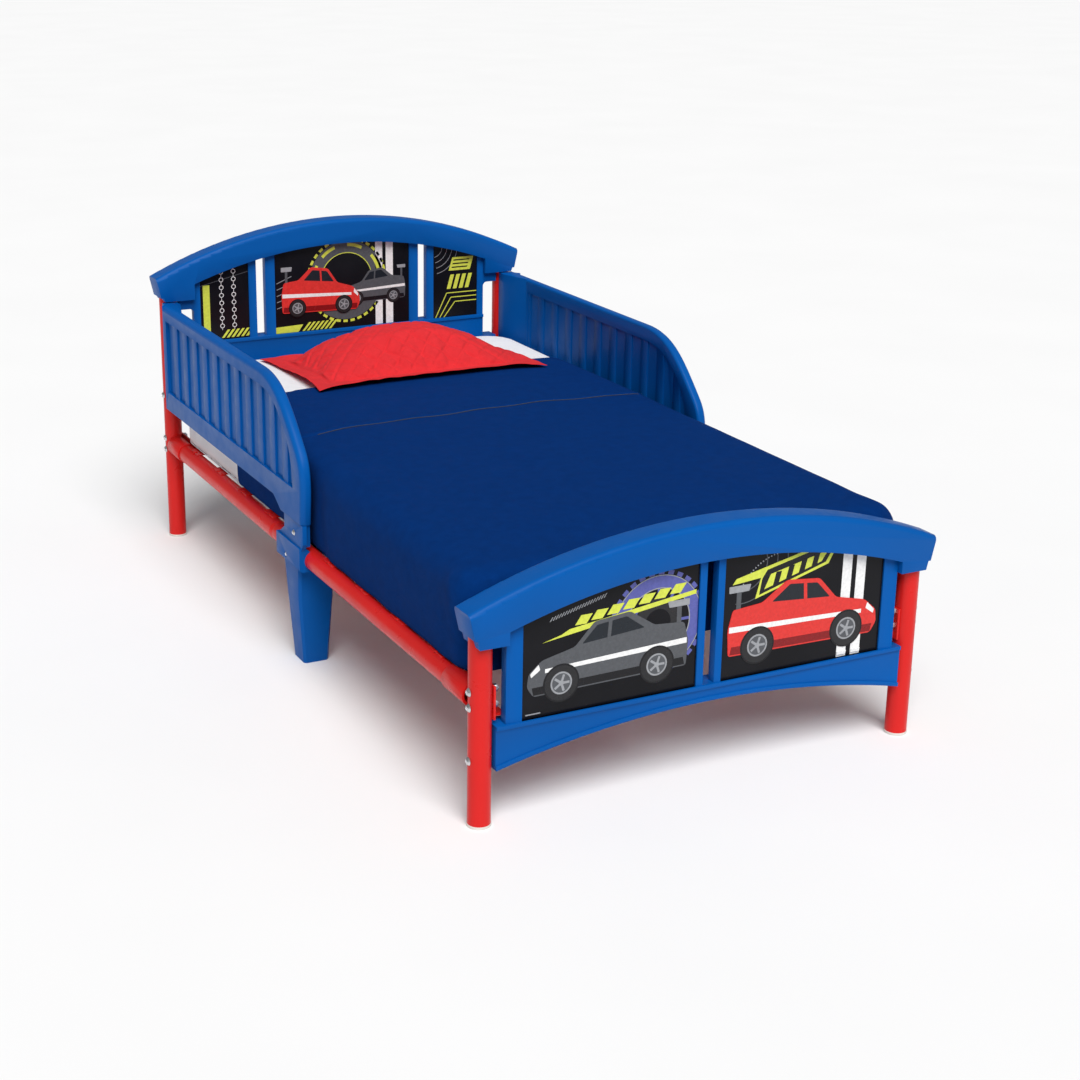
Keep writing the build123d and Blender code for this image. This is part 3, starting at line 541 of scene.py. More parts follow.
class Print:
    """Flat shapes in layers on one panel, placed across and up from its window's lower left corner."""

    def __init__(self, panel):
        self.panel = panel
        low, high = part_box(panel)
        self.left = low.x + PANEL_BITE
        self.right = high.x - PANEL_BITE
        self.sill = low.z + PANEL_BITE
        self.face_y = low.y
        self.middle_z = (low.z + high.z) / 2
        self.bm = bmesh.new()
        self.names = []
        self.layer = 1

    def over(self):
        """What follows is printed over what is there."""
        self.layer += 1

    def place(self, across, up):
        return (self.left + across, self.face_y, self.sill + up)

    def slab(self, faces, name):
        """Flat faces are drawn forward into a thin slab of ink."""
        if name not in self.names:
            self.names.append(name)
        for face in faces:
            face.material_index = self.names.index(name)
        drawn = bmesh.ops.extrude_face_region(self.bm, geom=faces, use_keep_orig=True)
        verts = [g for g in drawn["geom"] if isinstance(g, bmesh.types.BMVert)]
        bmesh.ops.translate(self.bm, verts=verts, vec=(0, -self.layer * sizes().print_layer, 0))

    def shape(self, name, points, round_by=0.0):
        """An outline through points, with its corners rounded."""
        verts = [self.bm.verts.new(self.place(*p)) for p in points]
        face = self.bm.faces.new(verts)
        if round_by:
            made = bmesh.ops.bevel(
                self.bm, geom=verts, offset=round_by, affect="VERTICES", segments=5, profile=0.5,
                material=-1,
            )
            face = max((f for v in made["verts"] for f in v.link_faces), key=lambda f: f.calc_area())
        self.slab([face], name)

    def disc(self, name, centre, radius, segments=40):
        made = bmesh.ops.create_circle(self.bm, cap_ends=True, radius=radius, segments=segments)
        turn = Matrix.Translation(self.place(*centre)) @ Matrix.Rotation(radians(90), 4, "X")
        bmesh.ops.transform(self.bm, matrix=turn, verts=made["verts"])
        self.slab(list({f for v in made["verts"] for f in v.link_faces}), name)

    def ring(self, name, centre, outer, inner, start=0.0, end=360.0, steps=48):
        """Part of a ring between two angles in degrees."""
        rows = []
        for i in range(steps + 1):
            angle = start + (end - start) * i / steps
            rows.append([
                self.bm.verts.new(self.place(*on_circle(centre, radius, angle))) for radius in (outer, inner)
            ])
        faces = [self.bm.faces.new((a[0], b[0], b[1], a[1])) for a, b in zip(rows, rows[1:])]
        if end - start >= 360:
            bmesh.ops.remove_doubles(self.bm, verts=rows[0] + rows[-1], dist=1e-6)
        self.slab(faces, name)

    def bar(self, name, start, end, width):
        """A straight stripe between two points."""
        run = Vector((end[0] - start[0], end[1] - start[1]))
        side = Vector((-run.y, run.x)).normalized() * width / 2
        ends = ((start, -1), (end, -1), (end, 1), (start, 1))
        self.shape(name, [(p[0] + sign * side.x, p[1] + sign * side.y) for p, sign in ends])

    def slanted(self, name, left, low, width, height, lean):
        """A block whose top is shifted sideways."""
        self.shape(name, [
            (left, low), (left + width, low), (left + width + lean, low + height), (left + lean, low + height)
        ])

    def clip(self, normal, point):
        """Cut away what is past a line, and close the cut."""
        geom = [*self.bm.verts, *self.bm.edges, *self.bm.faces]
        cut = bmesh.ops.bisect_plane(
            self.bm, geom=geom, plane_co=point, plane_no=normal, clear_outer=True, dist=1e-7
        )
        edges = [g for g in cut["geom_cut"] if isinstance(g, bmesh.types.BMEdge) and g.is_boundary]
        bmesh.ops.holes_fill(self.bm, edges=edges, sides=0)

    def arch(self):
        """The panel's arched top edge, from left to right."""
        highest = {}
        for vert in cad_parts[self.panel].data.vertices:
            x = round(vert.co.x, 5)
            if vert.co.z > self.middle_z:
                highest[x] = max(vert.co.z, highest.get(x, 0.0))
        return [Vector((x, 0, z)) for x, z in sorted(highest.items())]

    def finish(self):
        """Trim the print to its window and hand it over as a piece."""
        self.clip((-1, 0, 0), (self.left + PRINT_MARGIN, 0, 0))
        self.clip((1, 0, 0), (self.right - PRINT_MARGIN, 0, 0))
        self.clip((0, 0, -1), (0, 0, self.sill + PRINT_MARGIN))
        top = self.arch()
        for a, b in zip(top, top[1:]):
            up = Vector((a.z - b.z, 0, b.x - a.x)).normalized()
            self.clip(up, a - up * (PANEL_BITE + PRINT_MARGIN))
        bmesh.ops.recalc_face_normals(self.bm, faces=self.bm.faces)
        inks = [ink(f"{name}_{self.panel}", INKS[name]) for name in self.names]
        piece = new_piece(self.panel + "_print", self.bm, inks, radians(30))
        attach(piece, "frame")
        return piece


def draw_car(art, at, length, tall, facing, body, shade):
    """A plain racing saloon from the side, on its wheels."""

    def spot(across, up):
        return (at[0] + facing * across * length, at[1] + up * length * tall)

    def part(name, points, round_by=0.0):
        placed = [spot(*p) for p in points]
        art.shape(name, placed if facing > 0 else placed[::-1], round_by)

    part("slate", [(-0.45, 0.18), (-0.42, 0.18), (-0.42, 0.31), (-0.45, 0.31)])
    art.over()
    part("silver", [(-0.50, 0.30), (-0.37, 0.30), (-0.36, 0.325), (-0.50, 0.325)], 1 * MM)
    art.over()
    part(body, [
        (-0.49, 0.06), (0.47, 0.05), (0.51, 0.09), (0.50, 0.14), (0.42, 0.185), (0.22, 0.215),
        (0.10, 0.30), (-0.12, 0.315), (-0.28, 0.245), (-0.47, 0.235), (-0.50, 0.16),
    ], 4 * MM)
    art.over()
    part("glass", [(0.175, 0.222), (0.085, 0.285), (-0.10, 0.298), (-0.215, 0.242)], 2 * MM)
    part("white", [(-0.49, 0.150), (0.40, 0.135), (0.40, 0.150), (-0.49, 0.172)])
    part(shade, [(-0.48, 0.065), (0.47, 0.055), (0.48, 0.085), (-0.47, 0.095)])
    part("white", [(0.43, 0.15), (0.485, 0.125), (0.49, 0.14), (0.44, 0.172)], 1 * MM)
    art.over()
    part(body, [(0.0, 0.215), (0.022, 0.215), (0.012, 0.3), (-0.01, 0.3)])
    hubs = ((-0.30, 0.085), (0.30, 0.085))
    for name, radius in (("black", 0.112), ("tyre", 0.102), ("silver", 0.066), ("slate", 0.056)):
        for hub in hubs:
            art.disc(name, spot(*hub), radius * length)
        art.over()
    for hub in hubs:
        for i in range(5):
            inner, outer = (on_circle(spot(*hub), reach * length, 72 * i) for reach in (0.012, 0.05))
            art.bar("silver", inner, outer, 0.014 * length)
    art.over()
    for hub in hubs:
        art.disc("silver", spot(*hub), 0.016 * length, 20)
    art.over()


def toothed_ring(art, name, centre, outer, inner, teeth):
    """Short blocks round a circle, like the tread of a tyre."""
    step = 360 / teeth
    for i in range(teeth):
        art.ring(name, centre, outer, inner, i * step, (i + 0.6) * step, 3)


def hazard_bars(art, left, low, count, pitch, width, height, lean):
    """A row of slanting bars."""
    for i in range(count):
        art.slanted("lime", left + pitch * i, low, width, height, lean)


def draw_head_left(art):
    art.bar("slate", (0.0, 0.104), (0.095, 0.125), 1.2 * MM)
    art.over()
    art.slanted("lime", 0.006, 0.0, 0.013, 0.105, 0.0)
    for column, across in enumerate((0.042, 0.066)):
        art.bar("white", (across, 0.018), (across, 0.130 + 0.012 * column), 0.8 * MM)
    art.bar("white", (0.066, 0.142), (0.088, 0.150), 0.8 * MM)
    hazard_bars(art, 0.040, 0.003, 6, 0.0095, 0.0052, 0.015, 0.012)
    art.over()
    centres = [(across, 0.026 + 0.0145 * row) for across in (0.042, 0.066) for row in range(8)]
    for centre in centres:
        art.disc("white", centre, 4.4 * MM, 20)
    art.over()
    for centre in centres:
        art.disc("black", centre, 3.2 * MM, 20)


def draw_head_centre(art):
    middle = (0.146, 0.092)
    for i in range(5):
        art.bar("silver", (0.004, 0.048 + 0.012 * i), (0.046 - 0.003 * i, 0.060 + 0.012 * i), 1.2 * MM)
    art.ring("slate", middle, 0.076, 0.052)
    toothed_ring(art, "lime", middle, 0.082, 0.077, 34)
    for left in (0.206, 0.228):
        art.slanted("white", left, 0.0, 0.015, 0.19, 0.0)
    art.over()
    art.ring("lime", middle, 0.0535, 0.0520)
    for start in (15, 62, 110, 152):
        art.ring("lime", middle, 0.071, 0.065, start, start + 26, 10)
    art.shape("lime", [(0.0, 0.0), (0.046, 0.0), (0.056, 0.014), (0.0, 0.012)])
    hazard_bars(art, 0.054, 0.001, 7, 0.009, 0.0048, 0.016, 0.014)
    art.over()
    draw_car(art, (0.205, 0.034), 0.128, 1.9, -1, "slate", "black")
    draw_car(art, (0.092, 0.018), 0.158, 2.1, 1, "red", "maroon")


def draw_head_right(art):
    for i in range(4):
        art.ring("silver", (0.0, 0.140), 0.020 + 0.011 * i, 0.019 + 0.011 * i, -80, 60, 20)
    art.over()
    art.slanted("lime", 0.034, 0.092, 0.046, 0.026, 0.008)
    for i in range(4):
        art.slanted("lime", 0.030 + 0.013 * i, 0.056, 0.008, 0.028, 0.008)
    for i in range(3):
        drop = 0.009 * i
        art.bar("lime", (0.030 + drop, 0.048 - drop), (0.095, 0.048 - drop), 1.8 * MM)
        art.bar("lime", (0.030 + drop, 0.048 - drop), (0.006 + drop, 0.0), 1.8 * MM)
    art.over()
    for i in range(3):
        art.slanted("black", 0.040 + 0.002 * i, 0.097 + 0.007 * i, 0.034, 0.0025, 0.001)


def draw_foot_left(art):
    middle = (0.205, 0.103)
    art.ring("violet", middle, 0.068, 0.050)
    toothed_ring(art, "violet", middle, 0.075, 0.069, 30)
    art.ring("tyre", middle, 0.036, 0.020)
    for i in range(12):
        art.bar("violet", on_circle(middle, 0.037, 30 * i), on_circle(middle, 0.049, 30 * i), 4 * MM)
    for i in range(20):
        art.slanted("silver", 0.040 + 0.0042 * i, 0.132 + 0.0011 * i, 0.0016, 0.006, 0.004)
    art.over()
    art.ring("silver", middle, 0.0505, 0.0490)
    art.ring("silver", middle, 0.0685, 0.0672)
    art.over()
    art.shape("lime", [(0.030, 0.104), (0.264, 0.136), (0.264, 0.142), (0.070, 0.117), (0.058, 0.111)])
    for i in range(7):
        art.slanted("lime", 0.078 + 0.024 * i, 0.121 + 0.0034 * i, 0.017, 0.013, 0.009)
    art.over()
    draw_car(art, (0.132, 0.012), 0.244, 1.5, -1, "slate", "black")
    art.bar("silver", (0.006, 0.006), (0.028, 0.006), 1.2 * MM)


def draw_foot_right(art):
    for i in range(4):
        art.ring("slate", (0.030, 0.165), 0.040 + 0.017 * i, 0.0385 + 0.017 * i, -100, 40, 28)
    art.over()
    for i in range(26):
        art.disc("silver", on_circle((0.100, 0.095), 0.080, 152 - 3.4 * i), 1.1 * MM, 12)
    for left in (0.196, 0.220):
        art.slanted("white", left, 0.0, 0.016, 0.20, 0.002)
    art.over()
    art.shape("lime", [
        (0.052, 0.112), (0.172, 0.146), (0.186, 0.172), (0.174, 0.180), (0.020, 0.146), (0.014, 0.138),
        (0.060, 0.142),
    ], 1 * MM)
    art.over()
    art.shape("black", [
        (0.058, 0.117), (0.167, 0.149), (0.180, 0.170), (0.172, 0.175), (0.070, 0.152), (0.062, 0.140),
    ], 1 * MM)
    art.over()
    art.shape("lime", [(0.066, 0.124), (0.160, 0.151), (0.170, 0.166), (0.076, 0.145)])
    art.over()
    for i in range(4):
        art.slanted("black", 0.080 + 0.021 * i, 0.127 + 0.006 * i, 0.009, 0.020, 0.005)
    art.over()
    draw_car(art, (0.134, 0.010), 0.250, 1.55, 1, "red", "maroon")
    for i in range(2):
        art.slanted("white", 0.196 + 0.024 * i, 0.004, 0.015, 0.005, 0.001)


class BED_OT_prints(bpy.types.Operator):
    """Paint the panels and lay their printed shapes on them"""

    bl_idname = "bed.prints"
    bl_label = "Printed panels"

    def execute(self, context):
        gloss = board_gloss()
        drawings = (
            ("headboard_panel_left", draw_head_left),
            ("headboard_panel_centre", draw_head_centre),
            ("headboard_panel_right", draw_head_right),
            ("footboard_panel_left", draw_foot_left),
            ("footboard_panel_right", draw_foot_right),
        )
        for panel, draw in drawings:
            paint_node(panel, gloss)
            art = Print(panel)
            draw(art)
            art.finish()
        return {"FINISHED"}


# ------------------------------------------------------------------ bedding
def mattress_shape(voxel):
    """The mattress in even faces, with its sides pulled in a little between the corners."""
    bm = remeshed("mattress", voxel)
    low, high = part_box("mattress")
    middle = (low + high) / 2
    half = (high - low) / 2
    for vert in bm.verts:
        across = (vert.co.x - middle.x) / half.x
        along = min(1.0, abs(vert.co.y - middle.y) / half.y)
        vert.co.x -= 2 * MM * (1 - along**4) * across * ramp(abs(across), 0.7, 1.0)
    return bm


def drop_faces(bm, unwanted):
    bmesh.ops.delete(bm, geom=[f for f in bm.faces if unwanted(f)], context="FACES")


def swell(bm, distance):
    """Move every vertex out along its normal."""
    bm.normal_update()
    for vert, shift in [(v, v.normal * distance) for v in bm.verts]:
        vert.co += shift
    bm.normal_update()


def slice_at(bm, point, normal, clear=False):
    """A line of edges where a plane meets the mesh; with clear, what is past it goes."""
    geom = [*bm.verts, *bm.edges, *bm.faces]
    bmesh.ops.bisect_plane(bm, geom=geom, plane_co=point, plane_no=normal, clear_outer=clear, dist=1e-6)


def thickened(piece, thickness, levels=0):
    """Give a cloth its thickness outwards, with a round hem."""
    solid = piece.modifiers.new("Cloth thickness", "SOLIDIFY")
    solid.thickness = thickness
    solid.offset = 1.0
    if levels:
        finer = piece.modifiers.new("Finer", "SUBSURF")
        finer.levels = levels
        finer.render_levels = levels
    apply_modifiers(piece)
    piece.data.shade_smooth()


def make_mattress():
    """The mattress core with a piping round its lower edge."""
    bm = mattress_shape(12 * MM)
    swell(bm, -0.4 * MM)
    piece = new_piece("mattress_core", bm, [ticking()])
    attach(piece, "mattress")
    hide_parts("mattress")
    low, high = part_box("mattress")
    thread = stitching("piping_thread", (0.78, 0.78, 0.80))
    add_piping("mattress_piping_lower", low.z + 3 * MM, low, high, thread)


def rounded_loop(low, high, z, corner, steps):
    """Points round a rounded rectangle at a height."""
    points = []
    for quarter, (sx, sy) in enumerate(((1, 1), (-1, 1), (-1, -1), (1, -1))):
        centre = Vector((
            (low.x + high.x) / 2 + sx * ((high.x - low.x) / 2 - corner),
            (low.y + high.y) / 2 + sy * ((high.y - low.y) / 2 - corner),
            z,
        ))
        for i in range(steps + 1):
            angle = pi / 2 * (quarter + i / steps)
            points.append(centre + corner * Vector((cos(angle), sin(angle), 0)))
    return points


def cord_mesh(name, points, radius, material, cyclic=False):
    """A round cord through points, as a mesh."""
    curve = bpy.data.curves.new(name, "CURVE")
    curve.dimensions = "3D"
    curve.bevel_depth = radius
    curve.bevel_resolution = 2
    curve.use_fill_caps = True
    line = curve.splines.new("POLY")
    line.points.add(len(points) - 1)
    line.use_cyclic_u = cyclic
    for point, place in zip(line.points, points):
        point.co = (*place, 1)
    holder = bpy.data.objects.new(name, curve)
    bpy.context.scene.collection.objects.link(holder)
    graph = bpy.context.evaluated_depsgraph_get()
    mesh = bpy.data.meshes.new_from_object(holder.evaluated_get(graph))
    bpy.data.objects.remove(holder)
    mesh.materials.clear()
    mesh.materials.append(material)
    piece = bpy.data.objects.new(name, mesh)
    bpy.context.scene.collection.objects.link(piece)
    return piece


def add_piping(name, z, low, high, material):
    """A cord sewn round the mattress."""
    points = rounded_loop(low, high, z, 62 * MM, 12)
    piece = cord_mesh(name, points, 1.2 * MM, material, cyclic=True)
    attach(piece, "mattress")


def make_fitted_sheet():
    """Stretched over the mattress and round its edges, with small pulls at the corners."""
    low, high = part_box("mattress")
    bm = mattress_shape(9 * MM)
    swell(bm, 0.4 * MM)
    drop_faces(bm, lambda f: f.normal.z < -0.4)
    for vert in bm.verts:
        top = ramp(vert.co.z, high.z - 30 * MM, high.z - 8 * MM)
        pulls = rough_noise((vert.co.x, vert.co.y, vert.co.z * 0.25), 0.035)
        ripple = rough_noise((vert.co.x * 0.5, vert.co.y, 3.0), 0.09)
        corner = ramp(abs(vert.co.x), 0.25, 0.33) * ramp(abs(vert.co.y), 0.50, 0.60)
        on_top = 0.5 * MM * (1 + ripple)
        on_side = (0.3 + 0.5 * corner) * MM * (1 + pulls)
        vert.co += vert.normal * (on_top * top + on_side * (1 - top))
    cloth = cotton("white_cotton", colours().sheet, 0.7 * MM, 0.2, 0.03)
    piece = new_piece("fitted_sheet_cloth", bm, [cloth])
    thickened(piece, sizes().sheet_thickness)
    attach(piece, "mattress")
    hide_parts("fitted_sheet")


SEAM_Y = 0.072
SEAM_LOOPS = (-16 * MM, -6 * MM, -1.6 * MM, 0.0, 1.6 * MM, 6 * MM, 16 * MM)
SIDE_CORNER = 20 * MM
SIDE_EDGE_Y = 0.300
SIDE_SHOULDER_Z = 0.262
GUARD_FRONT_Y = -0.092
GUARD_GAP_X = 0.346
SQUARE_CORNER = 34 * MM


def seam_wander(x):
    """How far the cross seam strays from a straight line."""
    return 4 * MM * sin(x / 0.052) + 2 * MM * sin(x / 0.019 + 1.0) - 22 * MM * ramp(-x, 0.10, 0.36)


def side_edge(z, hem_z, head_y, top_z):
    """Where the coverlet's side ends towards the head, at a height."""
    if z < hem_z + SIDE_CORNER:
        rise = hem_z + SIDE_CORNER - z
        return SIDE_EDGE_Y - SIDE_CORNER + max(0.0, SIDE_CORNER**2 - rise**2) ** 0.5
    return SIDE_EDGE_Y + (head_y - SIDE_EDGE_Y) * ramp(z, SIDE_SHOULDER_Z, top_z)


def squared(vert, half_x, foot_y, corner):
    """Pull the rounded plan corners at the foot out towards a square corner."""
    centre = Vector((half_x - corner, foot_y + corner))
    away = Vector((abs(vert.co.x) - centre.x, centre.y - vert.co.y))
    if away.x <= 0 or away.y <= 0:
        return
    reach = max(away.x, away.y) / away.length
    slack = corner - SQUARE_CORNER
    target = min(corner / max(reach, 0.5), corner + slack * 0.414)
    away *= 1 + (target / corner - 1) * min(1.0, away.length / corner)
    vert.co.x = (centre.x + away.x) * (1 if vert.co.x > 0 else -1)
    vert.co.y = centre.y - away.y


def make_coverlet():
    """Lies over the mattress and hangs at the sides and the foot, fuller in front of the guards."""
    low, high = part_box("coverlet")
    under_low, under_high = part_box("mattress")
    bm = mattress_shape(11 * MM)
    swell(bm, 2.8 * MM)
    drop_faces(bm, lambda f: f.normal.z < -0.4)
    slice_at(bm, (0, high.y - 14 * MM, 0), (-0.07, 1, 0), clear=True)
    slice_at(bm, (0, 0, under_low.z + 8 * MM), (0, 0, -1), clear=True)
    for loop in SEAM_LOOPS:
        slice_at(bm, (0, SEAM_Y + loop, 0), (0, 1, 0))
    shoulder_z = high.z - 34 * MM
    hem_z = low.z - 0.8 * MM

    def end_y(vert):
        return side_edge(vert.co.z, hem_z, high.y, shoulder_z)

    def past(vert):
        return vert.co.z < shoulder_z and abs(vert.co.x) > 0.3 and vert.co.y > end_y(vert)

    drop_faces(bm, lambda f: all(past(v) for v in f.verts))
    for vert in bm.verts:
        if past(vert):
            vert.co.y = end_y(vert)
        vert.co.z -= (under_low.z + 8 * MM - hem_z) * (1 - ramp(vert.co.z, low.z, low.z + 60 * MM))
        squared(vert, under_high.x + 2.8 * MM, under_low.y - 2.8 * MM, 62 * MM)
    bm.normal_update()
    span = shoulder_z - low.z
    for vert in bm.verts:
        x, y, z = vert.co
        normal = vert.normal.copy()
        top = ramp(z, shoulder_z, high.z - 16 * MM)
        seam = y - SEAM_Y
        near_seam = exp(-((seam / 0.03) ** 2)) * top
        groove = exp(-((seam / (1.5 * MM)) ** 2)) * top * ramp(0.335 - abs(x), 0.0, 0.02)
        lip = exp(-(((seam - 6 * MM) / (5 * MM)) ** 2)) * top
        vert.co.y += seam_wander(x) * near_seam
        crown = (1 - min(1.0, abs(x / 0.345)) ** 4) * ramp(y, -0.625, -0.45) * (1 - 0.5 * ramp(y, 0.18, 0.36))
        waves = rough_noise((x, y * 0.6, 1.0), 0.16) * 1.6 + rough_noise((x * 0.7, y, 5.0), 0.05) * 0.5
        vert.co.z += top * (sizes().coverlet_crown * crown + waves * MM) - groove * 4.2 * MM + lip * 1.4 * MM
        hang = 1 - ramp(z, low.z, shoulder_z)
        folds = rough_noise((x, y, z * 0.22), 0.055)
        in_front = ramp(GUARD_FRONT_Y - y, 0.0, 0.05) * (1 - ramp(-y, 0.61, 0.66))
        facing = abs(normal.x) * (1 - top)
        full = 0.45 + 0.55 * sin(pi * min(1.0, max(0.0, (z - low.z) / (span + 25 * MM))))
        corner = ramp(-y, 0.53, 0.60) * ramp(z, low.z + 30 * MM, shoulder_z)
        vert.co += normal * facing * in_front * (9 * MM * full + 2.0 * MM * folds * hang)
        vert.co.x += (1 if x > 0 else -1) * 9 * MM * corner * ramp(abs(x), 0.27, 0.33)
        vert.co += normal * (1 - top) * (1 - in_front) * 0.7 * MM * (folds - 0.8) * hang
        if not in_front:
            vert.co.x = max(5 * MM - GUARD_GAP_X, min(GUARD_GAP_X - 5 * MM, vert.co.x))
    cloth = cotton("navy_cotton", colours().coverlet, 0.9 * MM, 0.006, 0.10)
    piece = new_piece("coverlet_cloth", bm, [cloth])
    thickened(piece, sizes().coverlet_thickness, 1)
    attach(piece, "coverlet")
    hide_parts("coverlet")
    seam_thread_and_shadow(piece.data)


THREAD_START_X = -0.285
THREAD_STEP = 3.8 * MM
THREAD_POINTS = 160
THREAD_RADIUS = 0.9 * MM
ABOVE_BED = 1.0


def seam_thread_and_shadow(cloth):
    """The line of thread where the coverlet is sewn across, laid on the cloth; it is made near-black as
    painted shadow of the seam's fold.
    """
    surface = BVHTree.FromPolygons([v.co for v in cloth.vertices], [p.vertices[:] for p in cloth.polygons])
    points = []
    for i in range(THREAD_POINTS):
        x = THREAD_START_X + THREAD_STEP * i
        hit = surface.ray_cast(Vector((x, SEAM_Y + seam_wander(x), ABOVE_BED)), Vector((0, 0, -1)))[0]
        points.append(hit + Vector((0, 0.4 * MM * sin(i * 1.7), 0.25 * MM)))
    # Near-black, much darker than the cloth: a real thread, coloured as the painted shadow of the seam's
    # fold.
    thread = cord_mesh("coverlet_seam_and_shadow", points, THREAD_RADIUS, stitching("seam_thread_and_shadow", (0.001, 0.006, 0.03)))
    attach(thread, "coverlet")


class BED_OT_mattress(bpy.types.Operator):
    """Make the mattress, its piping and the fitted sheet on it"""

    bl_idname = "bed.mattress"
    bl_label = "Mattress and sheet"

    def execute(self, context):
        make_mattress()
        make_fitted_sheet()
        return {"FINISHED"}


class BED_OT_coverlet(bpy.types.Operator):
    """Make the coverlet"""

    bl_idname = "bed.coverlet"
    bl_label = "Coverlet"

    def execute(self, context):
        make_coverlet()
        return {"FINISHED"}


# ------------------------------------------------------------------ pillow
PILLOW_BORDER = 30 * MM
PILLOW_STEP = 4.5 * MM
PILLOW_SKIN = 3 * MM
PILLOW_LIMIT = 20 * MM
SIM_FRAMES = 20


def pillow_place(half_length, half_depth, vert):
    """How far out a point is from the middle of the filled part: 0 in the middle, 1 at its seam."""
    across = abs(vert.co.x) / (half_length - PILLOW_BORDER)
    along = abs(vert.co.y) / (half_depth - PILLOW_BORDER)
    return across, along


def pillow_blank(half_length, half_depth, height):
    """Two layers of cloth joined all round, part filled, flat at the border."""
    bm = bmesh.new()
    across = round(2 * half_length / PILLOW_STEP)
    along = round(2 * half_depth / PILLOW_STEP)
    bmesh.ops.create_grid(bm, x_segments=across, y_segments=along, size=0.5)
    bmesh.ops.scale(bm, verts=bm.verts, vec=(2 * half_length, 2 * half_depth, 1))
    heights = {}
    for vert in bm.verts:
        u, v = pillow_place(half_length, half_depth, vert)
        filled = max(0.0, 1 - u**2.8) ** 0.62 * max(0.0, 1 - v**2.6) ** 0.62
        heights[vert] = filled
    under = bmesh.ops.duplicate(bm, geom=[*bm.verts, *bm.edges, *bm.faces])
    low_faces = [g for g in under["geom"] if isinstance(g, bmesh.types.BMFace)]
    pairs = {a: b for a, b in under["vert_map"].items() if a in heights}
    for vert, filled in heights.items():
        vert.co.z = PILLOW_SKIN / 2 + filled * height
        pairs[vert].co.z = -PILLOW_SKIN / 2 - filled * 0.12 * height
    bmesh.ops.reverse_faces(bm, faces=low_faces)
    rims = [e for e in bm.edges if e.is_boundary]
    bmesh.ops.bridge_loops(bm, edges=rims)
    bmesh.ops.recalc_face_normals(bm, faces=bm.faces)
    return bm


def fill_with_air(piece, pinned):
    """Cloth simulation of the filled part; the border is held."""
    group = piece.vertex_groups.new(name="held")
    group.add(pinned, 1.0, "REPLACE")
    before = [v.co.copy() for v in piece.data.vertices]
    cloth = piece.modifiers.new("Filling", "CLOTH")
    cloth.settings.quality = 5
    cloth.settings.mass = 0.3
    cloth.settings.use_pressure = True
    cloth.settings.uniform_pressure_force = 4.0
    cloth.settings.tension_stiffness = 12
    cloth.settings.compression_stiffness = 12
    cloth.settings.bending_stiffness = 0.4
    cloth.settings.shrink_min = -0.05
    cloth.settings.effector_weights.gravity = 0
    cloth.settings.vertex_group_mass = "held"
    cloth.collision_settings.use_collision = False
    cloth.point_cache.frame_start = 1
    cloth.point_cache.frame_end = SIM_FRAMES
    scene = bpy.context.scene
    for number in range(1, SIM_FRAMES + 1):
        scene.frame_set(number)
    apply_modifiers(piece)
    scene.frame_set(1)
    for vert, old in zip(piece.data.vertices, before):
        shift = vert.co - old
        if shift.length > PILLOW_LIMIT:
            vert.co = old + shift.normalized() * PILLOW_LIMIT


def stitch_depth(x, y, pitch):
    """How deep the diamond quilting pulls the cloth in, from 0 to 1."""
    deep = 0.0
    for across in (x + y, x - y):
        distance = abs((across / pitch) % 1 - 0.5) * pitch
        nearest = pitch / 2 - distance
        deep = max(deep, exp(-((nearest / (3.0 * MM)) ** 2)))
    return deep


